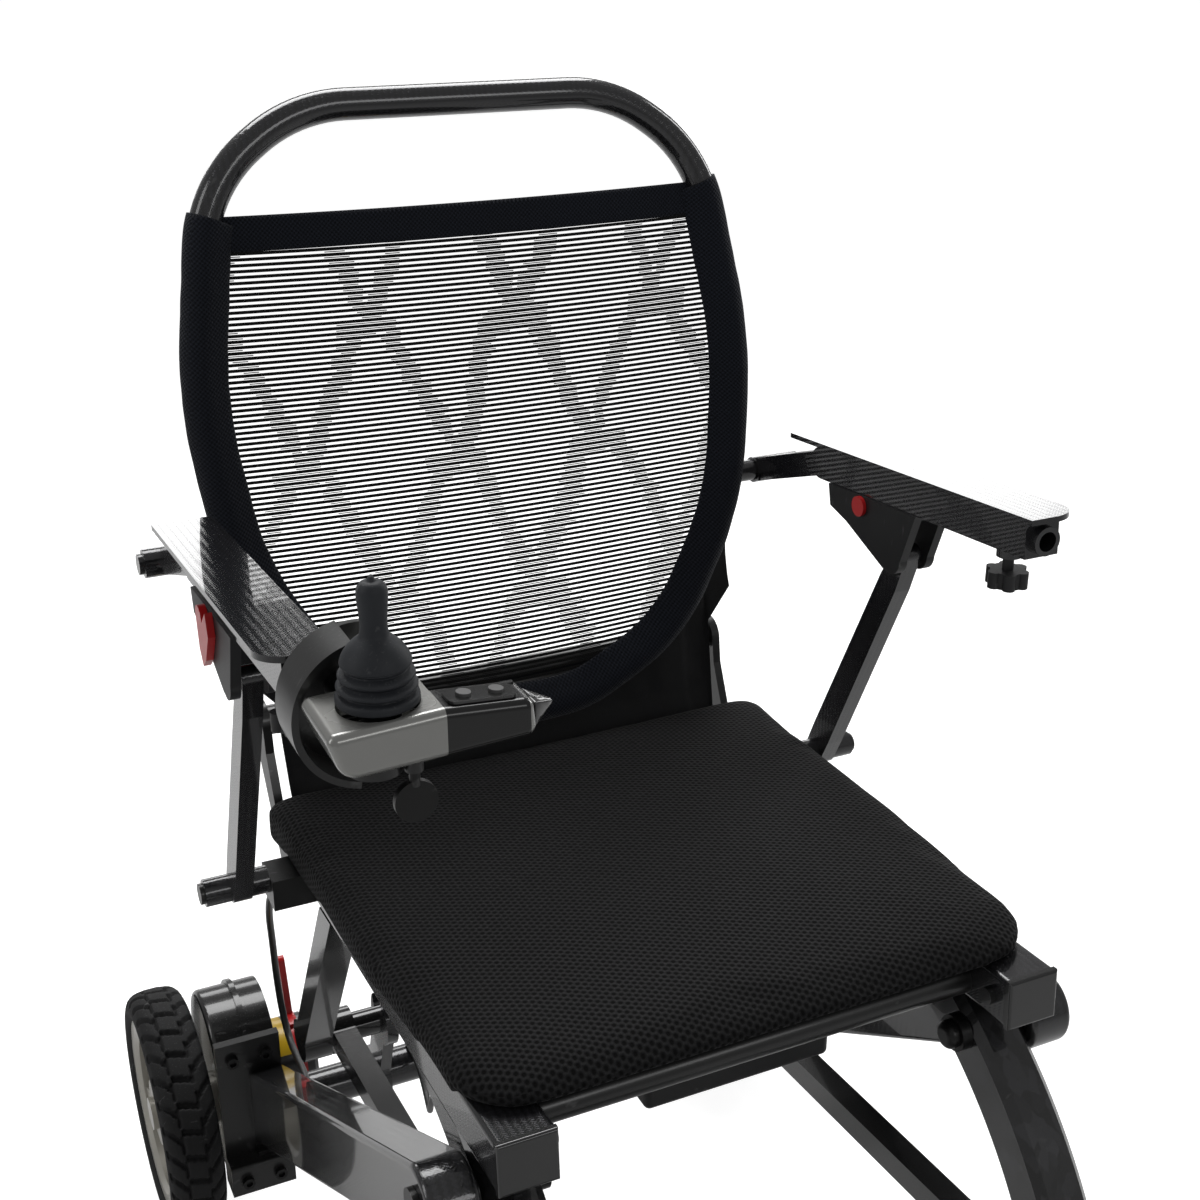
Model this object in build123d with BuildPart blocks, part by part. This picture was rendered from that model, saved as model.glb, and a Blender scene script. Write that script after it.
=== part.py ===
from build123d import *
import math
import os

# A folding power wheelchair, in millimetres. X is the occupant's left, -Y is forward, Z is up.

os.makedirs("parts", exist_ok=True)

SIDES = {"left": 1, "right": -1}

# ---- fits and clearances
RUN = 0.05  # radial clearance of a turning pin
SIDE_GAP = 0.3  # gap beside a turning boss
SOFT_GAP = 0.3  # gap between a soft part and what carries it

# ---- drive wheels and motors
WHEEL_RADIUS = 112
WHEEL_WIDTH = 50
WHEEL_OUTER_X = 320
AXLE_Y = 410
RIM_RADIUS = 87
RIM_LIP = 16  # the tyre's bead to the rim's inner wall
HUB_RADIUS = 30
AXLE_RADIUS = 10
GEARBOX_X = (205, 262)
GEARBOX_HALF = 57
GEARBOX_TOP = 222
MOTOR_Z = 137  # the motor sits above the axle it drives
MOTOR_RADIUS = 36
MOTOR_INNER_X = 163
LEVER_GROOVE = 3
LEVER_WIDTH = 8
LEVER_LENGTH = 56
LEVER_LEAN = 16  # degrees the brake lever leans back

# ---- main beams: from the fold pivot down to the motors
FOLD_Y, FOLD_Z = -145, 437
BARREL_RADIUS = 26
BEAM_X = (202, 235)
BEAM_END_Z = 138
BEAM_DEPTH = 68
PLATE_THICK = 8
FOLD_PIN = 8

# ---- seat frame
SEAT_TUBE_X = (161, 200)
SEAT_TUBE_DEPTH = 36
SEAT_FRONT = (-185, 485)
SEAT_REAR = (262, 457)
LEG_CENTRE = (19, 179)
LEG_RADIUS = 300
LEG_DEPTH = 42
LEG_X = (161, 199)
REST_TUBE = (285, 245)  # the tube that rests in the saddles
REST_TUBE_RADIUS = 12
POST_X = (176, 200)
POST_TOP_Y = 165
STRUT_X = (154, 174)
STRUT_FRONT = (-250, 291)
SADDLE_X = (118, 128)
CROSSBAR = (315, 165)
CROSSBAR_RADIUS = 17

# ---- seat cushion and battery
CUSHION_HALF = 228
CUSHION_FRONT_HALF = 212
CUSHION_TAPER_Y = 20  # the sides draw in ahead of this
CUSHION_Y = (-176, 260)
CUSHION_THICK = (14, 28)  # front, rear
CUSHION_CORNERS = (50, 18)  # front, rear
BATTERY_X = (-40, 110)
BATTERY_Y = (-62, 60)
BATTERY_Z = (374, 442)

# ---- casters and footrest
CASTER_X, CASTER_Y = 235, -240
CASTER_RADIUS = 75
CASTER_WIDTH = 38
CASTER_TRAIL = 35
STEM_RADIUS = 8
HEAD_Z = (175, 250)
FOOT_HINGE = (-378, 116)
FOOT_ROD = 8
FOOTPLATE_FRONT = -535
FOOTPLATE_HALF = 134
FOOTPLATE_THICK = 8
HANGER_X = (143, 161)

# ---- backrest: a reclined plane with a looped tube
BACK_FOOT = (265, 530)  # where the back's plane starts
RECLINE = 10.6
BACK_TUBE = 12
SLEEVE = 1.8
BACK_HINGE = (306, 546)
BACK_HINGE_HALF = 207
HINGE_TUBE = 12
MESH_TOP = 418
HEM = 26
BACK_BRACKET_X = (150, 164)
LEAN = math.radians(RECLINE)
BACK_PLANE = Plane(
    origin=(0, *BACK_FOOT),
    x_dir=(1, 0, 0),
    z_dir=(0, -math.cos(LEAN), math.sin(LEAN)),
)
# the tube's half outline on the back's plane: corners, and the bend radius at each
LOOP_CORNERS = [(0, 493), (130, 493), (203, 440), (228, 285), (212, 150), (150, 45), (60, 2), (0, 2)]
LOOP_BENDS = [120, 110, 350, 250, 150, 120]

# ---- armrests and their four-bar links
ARM_X = (242, 270)
ARM_PLATE_X = (240, 283)
ARM_PLATE_THICK = 4
ARM_FRONT = (-69, 771)
ARM_REAR = (243, 746)
ARM_DEPTH = 26
ARM_PIVOT = (299, 698)
LINK_FOOT = (192, 472)
LINK_TOP = (88, 691)
LINK_X = (249, 263)
LINK_BOSS = 10.5
PIN = 5
LINK_PIN = 6
CHEEK = 7
RELEASE = (131, 719)
KNOB_Y = -30
SOCKET_X, SOCKET_Z = 256, 755
SOCKET_RADIUS = 7

# ---- joystick controller on the right armrest
HOOP_CENTRE = (-238, 757)  # x, z
HOOP_RADIUS = 42
STICK = (-243, -152, 772)
HOOP_Y = (-124, -92)
HOOP_WEB = 4
POD_Y = (-179, HOOP_Y[0] - 1)
BAR_DEPTH = 26  # the display bar is shallower than the pod
BOOT_RADIUS = 26
BOOT_BASE = 7.2  # the boot's foot above the stick's pivot
BOOT_HOLE = 15  # lets the stick tilt
WELL_RADIUS = 22
GIMBAL = (9, 12)  # inner and outer radius of the gimbal ring

BAR_X = -216  # the display bar starts here
PANEL_START = (-212, 778.75)  # x, z
PANEL_SLOPE = math.atan2(-4, 48)  # falls towards the middle
PANEL_THICK = 1.6
BUTTON_RADIUS = 4
POWER_AT = (10, 0)  # down the panel, back from its middle
HORN_AT = (28, 0)
COLLAR_Z = (739, 749.2)  # the plate under the pod
THUMB_AT = (-228, -160)  # x, y of the thumb screw

# ---- leads
FLEX = 0.45  # share of the shorter run that each bend of a cord may take
CORD_RADIUS = {"motor_lead": 3.2, "battery_lead": 2.6}
CORD_ROUTES = {
    "motor_lead": [
        (-208, 246, 436),
        (-209, 274, 408),
        (-208, 314, 378),
        (-203, 350, 336),
        (-196, 378, 288),
        (-192, 394, 240),
        (-191, 388, 205),
        (-191, 366, 185),
        (-192, 334, 188),
        (-194, 302, 194),
        (-198.5, 274, 201),
    ],
    "battery_lead": [
        (-46.8, 30, 400),
        (-76, 34, 397),
        (-104, 58, 376),
        (-120, 92, 338),
        (-124, 132, 290),
        (-122, 168, 240),
        (-114, 196, 204),
        (-105, 228, 186),
        (-98, 262, 184),
        (-94, 292, 186),
        (-93, 321, 185.2),
    ],
}


def yz(x):
    """The plane across X at x: local x runs along Y, local y along Z."""
    return Plane.YZ.offset(x)


def slab(outline, thickness, mode=Mode.ADD):
    """Extrude a finished sketch into the part being built."""
    extrude(outline.sketch, amount=thickness, mode=mode)


def rod(centre, radius, x0, x1, mode=Mode.ADD):
    """A round bar along X at centre (y, z)."""
    with BuildSketch(yz(x0)) as disc:
        with Locations(centre):
            Circle(radius)
    slab(disc, x1 - x0, mode)


def bar(start, end, depth, x0, x1, mode=Mode.ADD):
    """A straight bar of square section between two (y, z) points, from x0 to x1."""
    run = (end[0] - start[0], end[1] - start[1])
    middle = ((start[0] + end[0]) / 2, (start[1] + end[1]) / 2)
    with BuildSketch(yz(x0)) as side:
        with Locations(middle):
            Rectangle(math.hypot(*run), depth, rotation=math.degrees(math.atan2(run[1], run[0])))
    slab(side, x1 - x0, mode)


def plate(points, x0, x1, mode=Mode.ADD):
    """A flat plate with a polygon outline in (y, z), from x0 to x1."""
    with BuildSketch(yz(x0)) as side:
        with BuildLine():
            Polyline(*points, close=True)
        make_face()
    slab(side, x1 - x0, mode)


def block(x, y, z, mode=Mode.ADD):
    """A rectangular block between three pairs of limits."""
    with BuildSketch(Plane.XY.offset(z[0])) as foot:
        with Locations(((x[0] + x[1]) / 2, (y[0] + y[1]) / 2)):
            Rectangle(abs(x[1] - x[0]), abs(y[1] - y[0]))
    slab(foot, z[1] - z[0], mode)


def post(x, y, radius, z0, z1, mode=Mode.ADD):
    """A round bar along Z."""
    with BuildSketch(Plane.XY.offset(z0)) as disc:
        with Locations((x, y)):
            Circle(radius)
    slab(disc, z1 - z0, mode)


def along_y(x, z, radius, y0, y1, mode=Mode.ADD):
    """A round bar along Y, from y0 back to y1."""
    ring = Plane(origin=(0, y0, 0), x_dir=(1, 0, 0), z_dir=(0, -1, 0))
    with BuildSketch(ring) as disc:
        with Locations((x, z)):
            Circle(radius)
    slab(disc, y0 - y1, mode)


def turned(centre, points, mode=Mode.ADD):
    """Turn an (x, radius) outline about the X line through centre (y, z)."""
    section = Plane(origin=(0, centre[0], centre[1]), x_dir=(1, 0, 0), z_dir=(0, -1, 0))
    with BuildSketch(section) as half:
        with BuildLine():
            Polyline(*points, close=True)
        make_face()
    revolve(half.sketch, axis=Axis((0, centre[0], centre[1]), (1, 0, 0)), mode=mode)


def save(piece, node):
    """Name a finished piece and write it."""
    piece.part.label = node
    export_step(piece.part, f"parts/{node}.step")


def save_group(node, *pieces):
    """Write several pieces that touch as one node, each still a solid of its own."""
    group = Compound([solid for piece in pieces for solid in piece.part.solids()])
    group.label = node
    export_step(group, f"parts/{node}.step")


def line_height(start, end, y, above):
    """Height at y of the line through two (y, z) points, moved square to itself by a distance."""
    slope = (end[1] - start[1]) / (end[0] - start[0])
    return start[1] + slope * (y - start[0]) + above * math.hypot(1, slope)


def seat_line(y, above=0.0):
    """Height of the seat tube's centre line at y, moved up square to the tube."""
    return line_height(SEAT_FRONT, SEAT_REAR, y, above)


def arm_line(y, above=0.0):
    """Height of the armrest plate's centre line at y, moved up square to the plate."""
    return line_height(ARM_FRONT, ARM_REAR, y, above)


HALF_SEAT = SEAT_TUBE_DEPTH / 2
BRACKET_BACK = AXLE_Y - GEARBOX_HALF
BRACKET_FRONT = BRACKET_BACK - PLATE_THICK
SCREW_X = (219, 249)
BEAM_BOTTOM = ARM_PLATE_THICK / 2 + ARM_DEPTH  # armrest beam's underside below the plate's centre


# ================================================================ rear frame
def main_beam(side, s):
    angle = math.atan2(FOLD_Z - BEAM_END_Z, BRACKET_FRONT - FOLD_Y)
    normal = (math.sin(angle), math.cos(angle))
    high = (FOLD_Y + BARREL_RADIUS * normal[0], FOLD_Z + BARREL_RADIUS * normal[1])
    low = (FOLD_Y - BARREL_RADIUS * normal[0], FOLD_Z - BARREL_RADIUS * normal[1])
    half = BEAM_DEPTH / 2 / math.cos(angle)
    with BuildPart() as beam:
        rod((FOLD_Y, FOLD_Z), BARREL_RADIUS, s * BEAM_X[0], s * BEAM_X[1])
        plate(
            [high, (BRACKET_FRONT, BEAM_END_Z + half), (BRACKET_FRONT, BEAM_END_Z - half), low],
            s * BEAM_X[0],
            s * BEAM_X[1],
        )
        long_edges = beam.edges().filter_by(GeomType.LINE).filter_by(lambda e: e.length > 300)
        fillet(long_edges, 4)
        rod((FOLD_Y, FOLD_Z), FOLD_PIN + RUN, s * BEAM_X[0], s * BEAM_X[1], Mode.SUBTRACT)
    save(beam, f"main_beam_{side}")


def rear_crossbar():
    lift = math.atan2(REST_TUBE[0] - FOLD_Y, FOLD_Z - REST_TUBE[1])
    exit_way = (math.cos(lift), math.sin(lift))
    slot = REST_TUBE_RADIUS + SOFT_GAP
    with BuildPart() as bar_and_saddles:
        rod(CROSSBAR, CROSSBAR_RADIUS, -BEAM_X[0], BEAM_X[0])
        for s in SIDES.values():
            x0, x1 = s * SADDLE_X[0], s * SADDLE_X[1]
            bar(CROSSBAR, REST_TUBE, 30, x0, x1)
            rod(REST_TUBE, 24, x0, x1)
            rod(CROSSBAR, CROSSBAR_RADIUS + 8, x0, x1)
        for s in SIDES.values():
            x0, x1 = s * SADDLE_X[0], s * SADDLE_X[1]
            rod(REST_TUBE, slot, x0, x1, Mode.SUBTRACT)
            out = (REST_TUBE[0] + 40 * exit_way[0], REST_TUBE[1] + 40 * exit_way[1])
            bar(REST_TUBE, out, 2 * slot, x0, x1, Mode.SUBTRACT)
        rod(CROSSBAR, CROSSBAR_RADIUS - 3, -BEAM_X[0], BEAM_X[0], Mode.SUBTRACT)
    save(bar_and_saddles, "rear_crossbar")


def motor_brackets():
    foot_z = (60, 92)
    with BuildPart() as brackets:
        block((SCREW_X[0] - 14, SCREW_X[1] + 14), (BRACKET_FRONT, BRACKET_BACK), (foot_z[0], 214))
        block((SCREW_X[0] - 14, SCREW_X[1] + 14), (BRACKET_FRONT - 20, BRACKET_FRONT), foot_z)
        fillet(brackets.edges().filter_by(Axis.X).filter_by(lambda e: e.center().Y < BRACKET_FRONT - 1), 3)
        block(BEAM_X, (BRACKET_FRONT - 10, BRACKET_FRONT), (92, BEAM_END_Z - BEAM_DEPTH / 2 - 8))
        mirror(about=Plane.YZ)
    save(brackets, "motor_brackets")


def gearboxes():
    with BuildPart() as boxes:
        with BuildSketch(yz(GEARBOX_X[0])) as outline:
            with Locations((AXLE_Y, GEARBOX_TOP - GEARBOX_HALF)):
                Circle(GEARBOX_HALF)
            with Locations((AXLE_Y, (GEARBOX_TOP - GEARBOX_HALF + 68) / 2)):
                Rectangle(2 * GEARBOX_HALF, GEARBOX_TOP - GEARBOX_HALF - 68)
        slab(outline, GEARBOX_X[1] - GEARBOX_X[0])
        fillet(boxes.faces().sort_by(Axis.X)[-1].edges(), 5)
        with BuildSketch(yz(GEARBOX_X[0] + 22)) as lip:
            with Locations((AXLE_Y, GEARBOX_TOP - GEARBOX_HALF)):
                Circle(GEARBOX_HALF + 3)
            with Locations((AXLE_Y, GEARBOX_TOP - GEARBOX_HALF - 70)):
                Rectangle(200, 140, mode=Mode.SUBTRACT)
            with Locations((BRACKET_BACK - 50, GEARBOX_TOP)):
                Rectangle(100, 200, mode=Mode.SUBTRACT)
        slab(lip, 5)
        rod((AXLE_Y, WHEEL_RADIUS), AXLE_RADIUS + RUN, GEARBOX_X[1] - 24, GEARBOX_X[1], Mode.SUBTRACT)
        mirror(about=Plane.YZ)
    save(boxes, "gearboxes")


def lever_slot():
    """Where the brake lever's ring runs on the motor, as |x| limits."""
    inner = MOTOR_INNER_X + 11
    return inner, inner + LEVER_WIDTH


def drive_motors():
    x0, x1 = lever_slot()
    groove = MOTOR_RADIUS - LEVER_GROOVE
    with BuildPart() as motors:
        turned(
            (AXLE_Y, MOTOR_Z),
            [
                (MOTOR_INNER_X, 0),
                (MOTOR_INNER_X, MOTOR_RADIUS - 4),
                (MOTOR_INNER_X + 4, MOTOR_RADIUS),
                (x0 - SIDE_GAP, MOTOR_RADIUS),
                (x0 - SIDE_GAP, groove),
                (x1 + SIDE_GAP, groove),
                (x1 + SIDE_GAP, MOTOR_RADIUS),
                (GEARBOX_X[0], MOTOR_RADIUS),
                (GEARBOX_X[0], 0),
            ],
        )
        mirror(about=Plane.YZ)
    save(motors, "drive_motors")


def brake_lever(side, s):
    x0, x1 = lever_slot()
    bore = MOTOR_RADIUS - LEVER_GROOVE + RUN
    lean = math.radians(LEVER_LEAN)
    centre = (AXLE_Y, MOTOR_Z)
    reach = MOTOR_RADIUS + LEVER_LENGTH
    tip = (AXLE_Y + reach * math.sin(lean), MOTOR_Z + reach * math.cos(lean))
    root = (AXLE_Y + MOTOR_RADIUS * math.sin(lean), MOTOR_Z + MOTOR_RADIUS * math.cos(lean))
    with BuildPart() as lever:
        rod(centre, MOTOR_RADIUS, s * x0, s * x1)
        with BuildSketch(yz(s * x0)) as pad:
            with Locations(centre):
                Circle(MOTOR_RADIUS + 4)
            with BuildLine():
                height = MOTOR_Z + 60
                Polyline(centre, (AXLE_Y - 14, height), (AXLE_Y + 34, height), close=True)
            make_face(mode=Mode.INTERSECT)
        slab(pad, s * (x1 - x0))
        bar(root, tip, 9, s * (x0 + 1), s * (x1 - 1))
        rod(tip, 4.5, s * (x0 + 1), s * (x1 - 1))
        rod(centre, bore, s * x0, s * x1, Mode.SUBTRACT)
    save(lever, f"brake_lever_{side}")


def bracket_screws():
    """Socket screws through the motor brackets: two above the beam and two in the foot."""
    with BuildPart() as screws:
        for y, z in ((BRACKET_FRONT, 196), (BRACKET_FRONT - 20, 76)):
            for x in SCREW_X:
                along_y(x, z, 5.5, y, y - 5)
                along_y(x, z, 3, y - 2.5, y - 5, Mode.SUBTRACT)
        mirror(about=Plane.YZ)
    save(screws, "bracket_screws")


def rear_wheel(side, s):
    centre = (AXLE_Y, WHEEL_RADIUS)
    out = WHEEL_OUTER_X
    inner = out - WHEEL_WIDTH
    bead = RIM_RADIUS
    with BuildPart() as tyre:
        turned(
            centre,
            [
                (s * (inner + 5), bead),
                (s * inner, bead + 12),
                (s * (inner + 3), WHEEL_RADIUS - 8),
                (s * (inner + 10), WHEEL_RADIUS - 1.5),
                (s * (inner + 18), WHEEL_RADIUS),
                (s * (out - 18), WHEEL_RADIUS),
                (s * (out - 10), WHEEL_RADIUS - 1.5),
                (s * (out - 3), WHEEL_RADIUS - 8),
                (s * out, bead + 12),
                (s * (out - 5), bead),
            ],
        )
    save(tyre, f"rear_tyre_{side}")

    with BuildPart() as rim:
        turned(
            centre,
            [
                (s * (inner + 4), bead - RIM_LIP + 4),
                (s * (inner + 4), bead),
                (s * (out - 4), bead),
                (s * (out - 4), bead - RIM_LIP + 4),
                (s * (out - 8), bead - RIM_LIP),
                (s * (inner + 8), bead - RIM_LIP),
            ],
        )
        with BuildSketch(yz(s * (out - 24))) as spokes:
            with Locations(centre):
                Circle(HUB_RADIUS + 4)
                with PolarLocations((HUB_RADIUS + bead - RIM_LIP) / 2 + 4, 3, start_angle=90):
                    Rectangle(bead - RIM_LIP - HUB_RADIUS + 6, 30)
        slab(spokes, s * 14)
        rod(centre, HUB_RADIUS, s * (inner + 2), s * (out - 8))
        rod(centre, AXLE_RADIUS + RUN, s * (inner + 2), s * (out - 8), Mode.SUBTRACT)
    with BuildPart() as axle:
        rod(centre, AXLE_RADIUS, s * (GEARBOX_X[1] - 22), s * (out - 8))
        rod(centre, AXLE_RADIUS + 5, s * (out - 8), s * (out - 3))
        turned(
            centre,
            [
                (s * (GEARBOX_X[1] + 1), AXLE_RADIUS - 2),
                (s * (GEARBOX_X[1] + 1), HUB_RADIUS - 6),
                (s * (inner + 2), HUB_RADIUS - 6),
                (s * (inner + 2), AXLE_RADIUS - 2),
            ],
        )
    save_group(f"rear_rim_{side}", rim, axle)


# ================================================================ seat frame
def seat_tube(side, s):
    with BuildPart() as tube:
        bar(SEAT_FRONT, SEAT_REAR, SEAT_TUBE_DEPTH, s * SEAT_TUBE_X[0], s * SEAT_TUBE_X[1])
        fillet(tube.edges().filter_by(GeomType.LINE).filter_by(lambda e: e.length > 300), 4)
    save(tube, f"seat_tube_{side}")


def tube_caps():
    """Plastic caps on the seat tubes' front ends, and the small nut beside each."""
    front = SEAT_FRONT[0] - 5
    with BuildPart() as caps:
        bar((front, seat_line(front)), SEAT_FRONT, SEAT_TUBE_DEPTH, *SEAT_TUBE_X)
        fillet(caps.faces().sort_by(Axis.Y)[0].edges(), 2)
        rod((SEAT_FRONT[0] + 14, SEAT_FRONT[1] - 1), 6, SEAT_TUBE_X[0] - 5, SEAT_TUBE_X[0])
        mirror(about=Plane.YZ)
    save(caps, "tube_caps")


def front_leg(side, s):
    """A bow from under the seat tube, forward and down to the caster."""
    with BuildPart() as leg:
        with BuildSketch(yz(s * LEG_X[0])) as bow:
            with Locations(LEG_CENTRE):
                Circle(LEG_RADIUS + LEG_DEPTH / 2)
                Circle(LEG_RADIUS - LEG_DEPTH / 2, mode=Mode.SUBTRACT)
            front, back = LEG_CENTRE[0] - LEG_RADIUS - LEG_DEPTH, LEG_CENTRE[0] - 49
            with BuildLine():
                Polyline(
                    (back, LEG_CENTRE[1]),
                    (front, LEG_CENTRE[1]),
                    (front, seat_line(front, -HALF_SEAT)),
                    (back, seat_line(back, -HALF_SEAT)),
                    close=True,
                )
            make_face(mode=Mode.INTERSECT)
        slab(bow, s * (LEG_X[1] - LEG_X[0]))
        bows = leg.edges().filter_by(GeomType.CIRCLE).filter_by(lambda e: e.length > 200)
        chamfer(bows, 6)
        rod((FOLD_Y, FOLD_Z), FOLD_PIN + RUN, s * LEG_X[0], s * LEG_X[1], Mode.SUBTRACT)
    save(leg, f"front_leg_{side}")


def seat_cross_tubes():
    """Three cross members between the seat tubes, with the battery's hanger straps."""
    span = SEAT_TUBE_X[0]
    with BuildPart() as tubes:
        for y in (-140, 20, 215):
            rod((y, seat_line(y, -4)), 11, -span, span)
    save(tubes, "seat_cross_tubes")


def seat_struts():
    """A post from each seat tube and a strut from each leg, meeting at the tube in the saddles."""
    top = seat_line(POST_TOP_Y, -HALF_SEAT)
    with BuildPart() as struts:
        with BuildSketch(yz(POST_X[0])) as upright:
            run = (REST_TUBE[0] - POST_TOP_Y, REST_TUBE[1] - top)
            with Locations(((POST_TOP_Y + REST_TUBE[0]) / 2, (top + REST_TUBE[1]) / 2)):
                Rectangle(math.hypot(*run) + 40, 24, rotation=math.degrees(math.atan2(run[1], run[0])))
            with BuildLine():
                Polyline(
                    (POST_TOP_Y - 120, seat_line(POST_TOP_Y - 120, -HALF_SEAT)),
                    (POST_TOP_Y + 200, seat_line(POST_TOP_Y + 200, -HALF_SEAT)),
                    (POST_TOP_Y + 200, REST_TUBE[1]),
                    (POST_TOP_Y - 120, REST_TUBE[1]),
                    close=True,
                )
            make_face(mode=Mode.INTERSECT)
            with Locations(REST_TUBE):
                Circle(REST_TUBE_RADIUS + 7)
                Circle(REST_TUBE_RADIUS + RUN, mode=Mode.SUBTRACT)
        slab(upright, POST_X[1] - POST_X[0])
        with BuildSketch(yz(STRUT_X[0])) as lower:
            run = (REST_TUBE[0] - STRUT_FRONT[0], REST_TUBE[1] - STRUT_FRONT[1])
            with Locations(((STRUT_FRONT[0] + REST_TUBE[0]) / 2, (STRUT_FRONT[1] + REST_TUBE[1]) / 2)):
                Rectangle(math.hypot(*run), 20, rotation=math.degrees(math.atan2(run[1], run[0])))
            with Locations(LEG_CENTRE):
                Circle(LEG_RADIUS - LEG_DEPTH / 2, mode=Mode.INTERSECT)
            with Locations(REST_TUBE):
                Circle(REST_TUBE_RADIUS + 7)
                Circle(REST_TUBE_RADIUS + RUN, mode=Mode.SUBTRACT)
        slab(lower, STRUT_X[1] - STRUT_X[0])
        mirror(about=Plane.YZ)
    with BuildPart() as tube:
        rod(REST_TUBE, REST_TUBE_RADIUS, -POST_X[1], POST_X[1])
    save_group("seat_struts", struts, tube)


def frame_bolts():
    """The fold pins: through the beam's barrel and the leg, with a domed nut inside."""
    fold = (FOLD_Y, FOLD_Z)
    with BuildPart() as bolts:
        rod(fold, FOLD_PIN, LEG_X[0], BEAM_X[1] + 0.2)
        rod(fold, 13, BEAM_X[1] + 0.2, BEAM_X[1] + 4)
        rod(fold, 14, LEG_X[1], BEAM_X[0] - 0.2)
        rod(fold, 13, LEG_X[0] - 8, LEG_X[0])
        rod(fold, 10, LEG_X[0] - 16, LEG_X[0] - 8)
        fillet(bolts.edges().filter_by(GeomType.CIRCLE).group_by(Axis.X)[0], 5)
        mirror(about=Plane.YZ)
    save(bolts, "fold_bolts")


def link_brackets():
    """A block on the outside of each seat tube with the pin that the arm link turns on."""
    y, z = LINK_FOOT
    head = ARM_PLATE_X[1] + SIDE_GAP
    with BuildPart() as brackets:
        top = min(seat_line(y + 16, HALF_SEAT), z + LINK_PIN + 2)
        block((SEAT_TUBE_X[1], BEAM_X[1] - SIDE_GAP), (y - 16, y + 16), (z - 20, top - 1))
        rod(LINK_FOOT, LINK_PIN, BEAM_X[1] - SIDE_GAP - 1, head + 1)
        rod(LINK_FOOT, 8, head, head + 3)
        mirror(about=Plane.YZ)
    save(brackets, "link_brackets")


def seat_cushion():
    y0, y1 = CUSHION_Y
    low0, low1 = seat_line(y0, HALF_SEAT + SOFT_GAP), seat_line(y1, HALF_SEAT + SOFT_GAP)
    front, rear = CUSHION_CORNERS
    with BuildPart() as cushion:
        plate(
            [(y0, low0), (y1, low1), (y1, low1 + CUSHION_THICK[1]), (y0, low0 + CUSHION_THICK[0])],
            -CUSHION_HALF,
            CUSHION_HALF,
        )
        with BuildSketch(Plane.XY.offset(low1 - 10)) as outline:
            with BuildLine():
                FilletPolyline(
                    (CUSHION_HALF, y1),
                    (CUSHION_HALF, CUSHION_TAPER_Y),
                    (CUSHION_FRONT_HALF, y0),
                    (-CUSHION_FRONT_HALF, y0),
                    (-CUSHION_HALF, CUSHION_TAPER_Y),
                    (-CUSHION_HALF, y1),
                    radius=[rear, 400, front, front, 400, rear],
                    close=True,
                )
            make_face()
        slab(outline, 100, Mode.INTERSECT)
        fillet(cushion.faces().sort_by(Axis.Z)[-1].edges(), 5)
    save(cushion, "seat_cushion")


def battery_case():
    """The battery and drive electronics, hung under the seat on two straps."""
    with BuildPart() as case:
        block(BATTERY_X, BATTERY_Y, BATTERY_Z)
        fillet(case.edges(), 5)
        for x in (BATTERY_X[0] + 20, BATTERY_X[1] - 20):
            block((x - 8, x + 8), (8, 32), (BATTERY_Z[1] - 2, seat_line(20, -4)))
        rod((20, seat_line(20, -4)), 11 + RUN, BATTERY_X[0], BATTERY_X[1], Mode.SUBTRACT)
        rod((30, 400), 5, BATTERY_X[0] - 6, BATTERY_X[0])
    save(case, "battery_case")


def back_hinge():
    """The hinge tube, and the plates that carry it on the rear ends of the seat tubes."""
    y, z = BACK_HINGE
    tail = SEAT_REAR[0]
    with BuildPart() as brackets:
        plate(
            [
                (tail - 50, seat_line(tail - 50, -HALF_SEAT + 2)),
                (tail, seat_line(tail, -HALF_SEAT + 2)),
                (y + 17, z - 12),
                (y + 17, z),
                (y - 17, z),
                (y - 20, z - 20),
                (tail + 2, seat_line(tail, HALF_SEAT + 2)),
                (tail - 2, seat_line(tail, HALF_SEAT)),
                (tail - 50, seat_line(tail - 50, HALF_SEAT - 2)),
            ],
            SEAT_TUBE_X[1],
            BACK_HINGE_HALF,
        )
        rod(BACK_HINGE, 17, SEAT_TUBE_X[1], BACK_HINGE_HALF)
        rod(BACK_HINGE, HINGE_TUBE + RUN, SEAT_TUBE_X[1], BACK_HINGE_HALF, Mode.SUBTRACT)
        mirror(about=Plane.YZ)
    with BuildPart() as tube:
        rod(BACK_HINGE, HINGE_TUBE, -BACK_HINGE_HALF, BACK_HINGE_HALF)
    save_group("back_hinge", brackets, tube)


# ================================================================ casters and footrest
def caster_heads():
    with BuildPart() as heads:
        post(CASTER_X, CASTER_Y, 17, *HEAD_Z)
        block((LEG_X[1], CASTER_X), (CASTER_Y - 34, CASTER_Y - 4), (HEAD_Z[0] + 8, HEAD_Z[1] - 6))
        fillet(heads.faces().sort_by(Axis.Z)[-1].edges(), 2)
        post(CASTER_X, CASTER_Y, STEM_RADIUS + RUN, HEAD_Z[0], HEAD_Z[1] - 6, Mode.SUBTRACT)
        mirror(about=Plane.YZ)
    save(heads, "caster_heads")


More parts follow.
